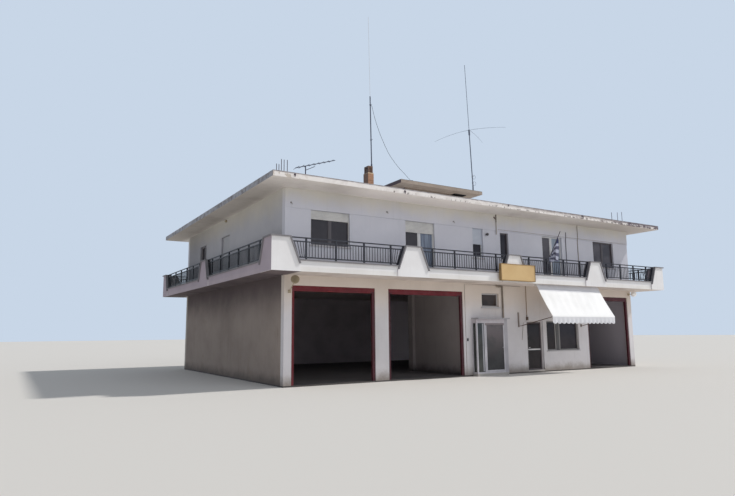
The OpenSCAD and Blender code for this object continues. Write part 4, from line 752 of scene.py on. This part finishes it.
class Shape:
    """Collects faces in the corner frame and makes one piece of them."""

    def __init__(self):
        self.verts, self.faces = [], []

    def box(self, x, y, z):
        n = len(self.verts)
        self.verts += [(a, b, c) for c in z for b in y for a in x]
        corners = ((0, 2, 3, 1), (4, 5, 7, 6), (0, 1, 5, 4),
                   (1, 3, 7, 5), (3, 2, 6, 7), (2, 0, 4, 6))
        self.faces += [tuple(n + i for i in face) for face in corners]

    def grid(self, rows, close=False):
        """A sheet through rows of points; close joins each row's end to its start."""
        n, w = len(self.verts), len(rows[0])
        for row in rows:
            self.verts += [tuple(p) for p in row]
        for i in range(len(rows) - 1):
            for j in range(w if close else w - 1):
                a, b = n + i * w + j, n + i * w + (j + 1) % w
                self.faces.append((a, b, b + w, a + w))

    def tube(self, rings):
        """A closed body through rings of points, with a flat cap at each end."""
        n, sides = len(self.verts), len(rings[0])
        last = n + (len(rings) - 1) * sides
        self.grid(rings, close=True)
        self.faces += [tuple(n + s for s in range(sides)),
                       tuple(last + s for s in reversed(range(sides)))]

    def rod(self, points, r, sides=8, r_end=None):
        """A round bar through the points, tapering to r_end where that is given."""
        points = [Vector(p) for p in points]
        last = len(points) - 1
        taper = 0 if r_end is None else r_end - r
        rings = []
        for i, p in enumerate(points):
            t = (points[min(i + 1, last)] - points[max(i - 1, 0)]).normalized()
            rings.append(ring(p, t, r + taper * (i / last), sides))
        self.tube(rings)

    def turned(self, start, end, radii, sides=20):
        """A body turned about the line from start to end, with a ring for each radius."""
        start, end = Vector(start), Vector(end)
        t, last = (end - start).normalized(), len(radii) - 1
        self.tube([ring(start.lerp(end, i / last), t, r, sides) for i, r in enumerate(radii)])

    def make(self, name, slot, mat=None, smooth=False):
        """One piece of the building, in the slot's own material or in the one given."""
        mesh = bpy.data.meshes.new(name)
        mesh.from_pydata([at(*v) for v in self.verts], [], self.faces)
        mesh.update()
        obj = bpy.data.objects.new(name, mesh)
        scene.collection.objects.link(obj)
        mesh.materials.append(mat or MATS[slot])
        if smooth:
            mesh.shade_smooth()
        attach(obj, "building")
        return obj


def on_curve(points, i, t):
    """A point on the smooth curve through the points, at share t of the way from point i."""
    last = len(points) - 1
    a, b, c, d = (Vector(points[max(0, min(last, k))]) for k in range(i - 1, i + 3))
    return (2 * b + (c - a) * t + (2 * a - 5 * b + 4 * c - d) * t * t
            + (3 * b - a - 3 * c + d) * t * t * t) / 2


def mast_cord():
    """The cable that sags from the left mast's clamp to the cleat on the stair head's slab."""
    r, steps = 0.008, 6
    route = [at(*on_curve(CABLE_ROUTE, i, j / steps))
             for i in range(len(CABLE_ROUTE) - 1) for j in range(steps)]
    route.append(at(*CABLE_ROUTE[-1]))
    curve = bpy.data.curves.new("mast_cord", "CURVE")
    curve.dimensions = "3D"
    curve.bevel_depth = r
    curve.bevel_resolution = 3
    curve.use_fill_caps = True
    spline = curve.splines.new("POLY")
    spline.points.add(len(route) - 1)
    for p, q in zip(spline.points, route):
        p.co = (*q, 1)
    obj = bpy.data.objects.new("mast_cord", curve)
    scene.collection.objects.link(obj)
    curve.materials.append(MATS["cable"])
    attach(obj, "building")
    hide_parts("mast_cable")


mast_cord()


def awning():
    """Canvas from the head box over the front bar, with a hanging scalloped valance."""
    x0, x1 = AWNING_X
    top, bar = Vector(AWNING_TOP), Vector(AWNING_BAR)
    across, down, below = 168, 30, 12
    scallops, drop = 15, 0.31
    rows = []
    for j in range(down + 1):
        t = j / down
        p = top.lerp(bar, t)
        row = []
        for i in range(across + 1):
            u = i / across
            sag = 0.022 * math.sin(math.pi * t) * (0.65 + 0.35 * math.cos(4 * math.pi * u))
            ripple = 0.004 * math.sin(2 * math.pi * (9 * u + 0.7 * t)) * math.sin(math.pi * t)
            push = sag + ripple
            row.append((x0 + (x1 - x0) * u, p.y + push * 0.86, p.z - push * 0.51))
        rows.append(row)
    for j in range(1, below + 1):
        t = j / below
        row = []
        for i in range(across + 1):
            u = i / across
            low = drop - 0.065 * (1 - abs(math.sin(math.pi * scallops * u)))
            swing = (0.012 * math.sin(2 * math.pi * (scallops * u + 0.1)) * t
                     + 0.008 * math.sin(19 * u) * t)
            row.append((x0 + (x1 - x0) * u, bar.y - 0.003 + swing,
                        bar.z - 0.012 - (low + 0.008) * t))
        rows.append(row)
    s = Shape()
    s.grid(rows)
    obj = s.make("awning_canvas", "fabric", smooth=True)
    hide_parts("awning_fabric")


awning()


def flag_cloth():
    """Pale cloth with dark bands and a fine weave."""
    m = Mat("flag", Roughness=0.8)
    m.bsdf.inputs["Sheen Weight"].default_value = 0.2
    t = m.node("Attribute", attribute_name="along").outputs["Fac"]
    stripe = m.math("PINGPONG", m.times(t, 4.5), 0.5)
    base = m.cloudy(rgb(206, 208, 224), rgb(184, 188, 208), (6, 3), 0.4, 0.7)
    c = m.mix(m.ramp(stripe, 0.24, 0.27, 0, 0.85), base, rgb(64, 60, 92))
    m.color(m.mix(m.ramp(t, 0.20, 0.17), c, rgb(62, 66, 108)))
    m.bump(m.noise(180, 2), 0.2, 0.001)
    return m.mat


def flag():
    """A draped flag under its slanting pole: it hangs in folds that deepen downwards."""
    pole = Vector((0, math.cos(FLAG_ANGLE), -math.sin(FLAG_ANGLE)))
    start = Vector(FLAG_TIP) + pole * 0.25 - Vector((0, 0, 0.030))
    lowest = start.z - 1.07
    across, down = 72, 48
    rows, shares = [], []
    for j in range(down + 1):
        v = j / down
        row = []
        for i in range(across + 1):
            u = i / across
            p = start + pole * FLAG_HOIST * u
            fall = (p.z - lowest) * (0.97 + 0.03 * math.cos(9 * u)) * v
            deep = 0.075 * min(1, 2.5 * v) * (0.75 + 0.25 * math.sin(7 * u + 2))
            fold = (math.sin(2 * math.pi * (3.6 * u + 0.25 * v) + 0.5)
                    + 0.25 * math.sin(17 * u + 5 * v))
            inward = 0.05 * v * math.sin(math.pi * u) - 0.03 * v * u
            row.append((p.x + deep * fold * 0.9 - 0.12 * v, p.y + inward * 0.6, p.z - fall))
            shares.append(0.75 * v + 0.35 * u)
        rows.append(row)
    s = Shape()
    s.grid(rows)
    obj = s.make("flag_cloth", "flag", mat=flag_cloth(), smooth=True)
    obj.data.attributes.new("along", "FLOAT", "POINT").data.foreach_set("value", shares)
    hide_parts("flag")


flag()


def on_wall(side, u, y):
    """A point at distance u along one of the four walls and y in from its face."""
    return {"front": (u, y), "left": (y, WALL_D - u), "right": (WALL_L - y, u),
            "back": (WALL_L - u, WALL_D - y)}[side]


def wall_box(s, side, u, y, z):
    """A box given by distances along a wall, in from its face, and up."""
    a, b = on_wall(side, u[0], y[0]), on_wall(side, u[1], y[1])
    s.box(sorted((a[0], b[0])), sorted((a[1], b[1])), z)


def slat(side, ends, y, z, tall):
    """A shutter's slat: flat in the middle, bent inwards along its lower and upper edges."""
    gap, bend = 0.003, 0.006
    rows = ((y + bend, z + gap), (y, z + tall * 0.25), (y, z + tall * 0.7),
            (y + bend, z + tall - gap))
    return [[(*on_wall(side, x, row_y), row_z) for x in ends] for row_y, row_z in rows]


def shutters():
    """Roller shutters in slats between their guides, with the last slat set a little further out.
    """
    slats, rails = Shape(), Shape()
    pitch, guide, face = 0.055, 0.03, FRAME_BACK - SHUTTER_T
    for side, openings in (("front", FRONT_OPENINGS), ("left", SIDE_OPENINGS),
                           ("right", SIDE_OPENINGS), ("back", BACK_OPENINGS)):
        for x, w, sill, head, drop in openings:
            if not drop:
                continue
            ends = (x + guide, x + w - guide)
            n = max(3, round(drop / pitch))
            tall = drop / n
            for i in range(n):
                y = face if i == n - 1 else face + 0.004
                slats.grid(slat(side, ends, y, head - (i + 1) * tall, tall))
            wall_box(slats, side, ends, (face + 0.012, FRAME_BACK), (head - drop, head))
            for u in (x, x + w - guide):
                wall_box(rails, side, (u, u + guide), (face - 0.004, FRAME_BACK - 0.001),
                         (sill + 0.001, head))
    obj = slats.make("shutter_slats", "shutter")
    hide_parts("roller_shutters")
    rails.make("shutter_guides", "white_frame", MATS["shutter"])


shutters()


def sashes():
    """The meeting stiles of the sliding sashes, just in front of the panes."""
    s = Shape()
    for side, openings in (("front", FRONT_OPENINGS + [OFFICE_WINDOW]),
                           ("left", SIDE_OPENINGS[:1]), ("right", SIDE_OPENINGS[:1]),
                           ("back", BACK_OPENINGS)):
        for x, w, sill, head, *_ in openings:
            if w < 1:
                continue
            office = sill < UPPER
            mid = x + w * (0.37 if office else 0.5)
            near, far = (0.10, 0.175) if office else (0.034, 0.075)
            for a, b in ((-far, -near), (near, far)):
                wall_box(s, side, (mid + a, mid + b), (0.098, 0.114), (sill + 0.062, head - 0.062))
    s.make("sash_stiles", "white_frame")
    p = Shape()
    p.box((8.955, 9.030), (-0.278, -0.262), (0.20, 2.19))
    p.make("porch_stile", "white_metal", MATS["stile_paint"])


sashes()


def fascia_irons():
    """Rusty ends of bent bars left in the roof slab's edge."""
    s = Shape()
    for x, z, k in ((-0.20, 7.20, 1.0), (4.37, 7.17, 1.0), (9.80, 7.22, 0.6), (14.6, 7.21, 1.3)):
        y = -REACH_FRONT
        s.rod([(x, y + 0.02, z), (x, y - 0.05 * k, z), (x - 0.01, y - 0.065 * k, z - 0.03),
               (x - 0.03, y - 0.06 * k, z - 0.10 * k)], 0.014)
        s.turned((x, y, z), (x, y - 0.004, z), (0.045 * k, 0.040 * k, 0.020 * k), 10)
    s.make("fascia_irons", "starter", MATS["starter"])


fascia_irons()


def on_mast(foot, lean, h):
    """A point h up a mast that leans to the left."""
    return Vector((foot[0] - h * math.sin(lean), foot[1], foot[2] + h * math.cos(lean)))


def clamp(s, c):
    """Two half shells round a tube with a bolt on each side."""
    half = Vector((0, 0, 0.03))
    s.turned(c - half, c + half, (0.030, 0.036, 0.036, 0.030), 12)
    for side in (-1, 1):
        bolt = Vector((0, -0.045, side * 0.02))
        s.rod([c + bolt, c + bolt + Vector((side * 0.065, 0, 0))], 0.007, 6)


def roof_aerials():
    """The right mast's thin radials and the loops at its foot, and both masts' clamps."""
    s = Shape()
    hub = on_mast(MAST_2, MAST_2_LEAN, 3.25)
    for dx, dy, dz in ((1.02, -1.75, -0.20), (-1.02, 1.75, -0.32), (1.48, 0.56, -0.30)):
        pts = [hub + Vector((dx * k, dy * k, dz * k * k)) for k in (i / 8 for i in range(9))]
        s.rod(pts, 0.007, 6, 0.004)
    for h in (0.27, 0.62):
        c = on_mast(MAST_2, MAST_2_LEAN, h)
        loop = [c + Vector((0.12 + 0.10 * math.cos(a), 0, 0.11 * math.sin(a)))
                for a in (2 * math.pi * i / 20 for i in range(20))]
        s.rod(loop + loop[:1], 0.007, 6)
        clamp(s, c)
    for z in (10.10, 11.68):
        clamp(s, on_mast(MAST_1, MAST_1_LEAN, z - MAST_1[2]))
    s.make("mast_radials", "mast")


roof_aerials()


def head_vent():
    """A dark slatted vent where the stair head's wall meets the slab over it."""
    s = Shape()
    x0, x1, y0, y1, top = 11.80, 12.62, 4.58, 4.85, HEAD_TOP - 0.18
    s.box((x0, x1), (y0, y1), (top - 0.02, top))
    for i in range(6):
        y = y0 + 0.02 + i * 0.042
        s.box((x0 + 0.02, x1 - 0.02), (y, y + 0.012), (top - 0.05, top - 0.02))
    s.make("head_vent", "roof_room", MATS["railing"])


head_vent()


def upper_hooks():
    """Small hooks under the eaves."""
    s = Shape()
    for x, z in ((0.22, 6.53), (4.36, 6.60), (7.77, 6.53)):
        s.turned((x, -0.0255, z), (x, -0.036, z), (0.034, 0.031, 0.016), 12)
        s.rod([(x, -0.030, z), (x, -0.075, z), (x + 0.01, -0.088, z - 0.03),
               (x + 0.02, -0.084, z - 0.08)], 0.011)
    s.make("upper_hooks", "lamp", MATS["hook"])


def riser(x, top):
    """A conduit up the balcony's wall that steps out near its top."""
    s = Shape()
    s.rod([(x, -0.018, UPPER), (x, -0.018, 6.30), (x, -0.043, 6.40), (x, -0.043, top)], 0.018)
    return s


def conduits():
    """The two risers and the thin conduits along the walls, with the lamp over a side door."""
    riser(14.87, 6.64).make("upper_conduit", "lamp", MATS["grey_conduit"])
    pale = riser(15.75, ROOF)
    pale.rod([(10.36, -0.034, 6.40), (19.60, -0.034, 6.40)], 0.008)
    pale.make("pale_conduits", "lamp", MATS["thin_pipe"])
    lamp = Shape()
    lamp.turned((0.0, 6.62, 6.95), (-0.11, 6.62, 6.93),
                (0.045, 0.060, 0.062, 0.056, 0.036, 0.015), 16)
    lamp.make("side_lamp", "lamp", MATS["lamp"])
    low = Shape()
    low.rod([(8.28, -0.010, 0.06), (8.28, -0.010, 3.86), (9.75, -0.010, 3.87),
             (11.60, -0.010, 3.86)], 0.009)
    low.rod([(11.94, -0.02, 2.36), (11.69, -0.016, 2.22), (11.58, -0.012, 1.46)], 0.009)
    low.make("wall_conduits", "lamp", MATS["thin_pipe"])


def doorbell():
    """A plate with a button, left of the entrance."""
    s = Shape()
    s.box((8.34, 8.41), (-0.022, 0.0), (1.46, 1.58))
    s.turned((8.375, -0.022, 1.54), (8.375, -0.028, 1.54), (0.016, 0.016, 0.012), 12)
    s.make("doorbell", "railing")


upper_hooks()
conduits()
doorbell()


def sign_rim():
    """A raised rim round the bare board."""
    x0, x1, z0, z1, y = 9.02, 11.02, 3.94, 4.65, -1.4753
    w = 0.028
    s = Shape()
    for xs, zs in (((x0, x1), (z0, z0 + w)), ((x0, x1), (z1 - w, z1)),
                   ((x0, x0 + w), (z0 + w, z1 - w)), ((x1 - w, x1), (z0 + w, z1 - w))):
        s.box(xs, (y - 0.009, y), zs)
    s.make("sign_rim", "sign", MATS["sign_rim"])


sign_rim()


# ---------------------------------------------------------------- floor and light
def floor():
    bpy.ops.mesh.primitive_plane_add(size=400, location=(0, 0, 0))
    obj = bpy.context.object
    obj.name = "ground_sheet"
    obj.visible_shadow = False
    m = Mat("ground_sheet", Roughness=0.95)
    m.color(rgb(212, 209, 204))
    obj.data.materials.append(m.mat)


floor()


def sun(name, travel, energy, spread, color=(1, 1, 1)):
    data = bpy.data.lights.new(name, "SUN")
    data.energy = energy
    data.angle = math.radians(spread)
    data.color = color
    lamp = bpy.data.objects.new(name, data)
    lamp.rotation_euler = Vector(travel).to_track_quat("-Z", "Y").to_euler()
    scene.collection.objects.link(lamp)


def light():
    world = bpy.data.worlds.new("world")
    scene.world = world
    world.use_nodes = True
    tree = world.node_tree
    back = tree.nodes["Background"]
    back.inputs["Color"].default_value = (0.80, 0.86, 0.95, 1)
    back.inputs["Strength"].default_value = 0.42
    plain = tree.nodes.new("ShaderNodeBackground")
    plain.inputs["Color"].default_value = (*rgb(200, 214, 231), 1)
    plain.inputs["Strength"].default_value = 1.0
    path = tree.nodes.new("ShaderNodeLightPath")
    mix = tree.nodes.new("ShaderNodeMixShader")
    either = tree.nodes.new("ShaderNodeMath")
    either.operation = "MAXIMUM"
    tree.links.new(path.outputs["Is Camera Ray"], either.inputs[0])
    tree.links.new(path.outputs["Is Glossy Ray"], either.inputs[1])
    tree.links.new(either.outputs[0], mix.inputs[0])
    tree.links.new(back.outputs[0], mix.inputs[1])
    tree.links.new(plain.outputs[0], mix.inputs[2])
    tree.links.new(mix.outputs[0], tree.nodes["World Output"].inputs[0])
    sun("key", (-0.64, 0.25, -0.73), 2.5, 3, (1.0, 0.97, 0.93))
    sun("fill", (-0.25, 0.86, -0.35), 0.5, 50, (0.96, 0.97, 1.0))
    sun("bounce", (0.10, 0.35, 0.95), 0.45, 60, (1.0, 0.95, 0.90))


light()
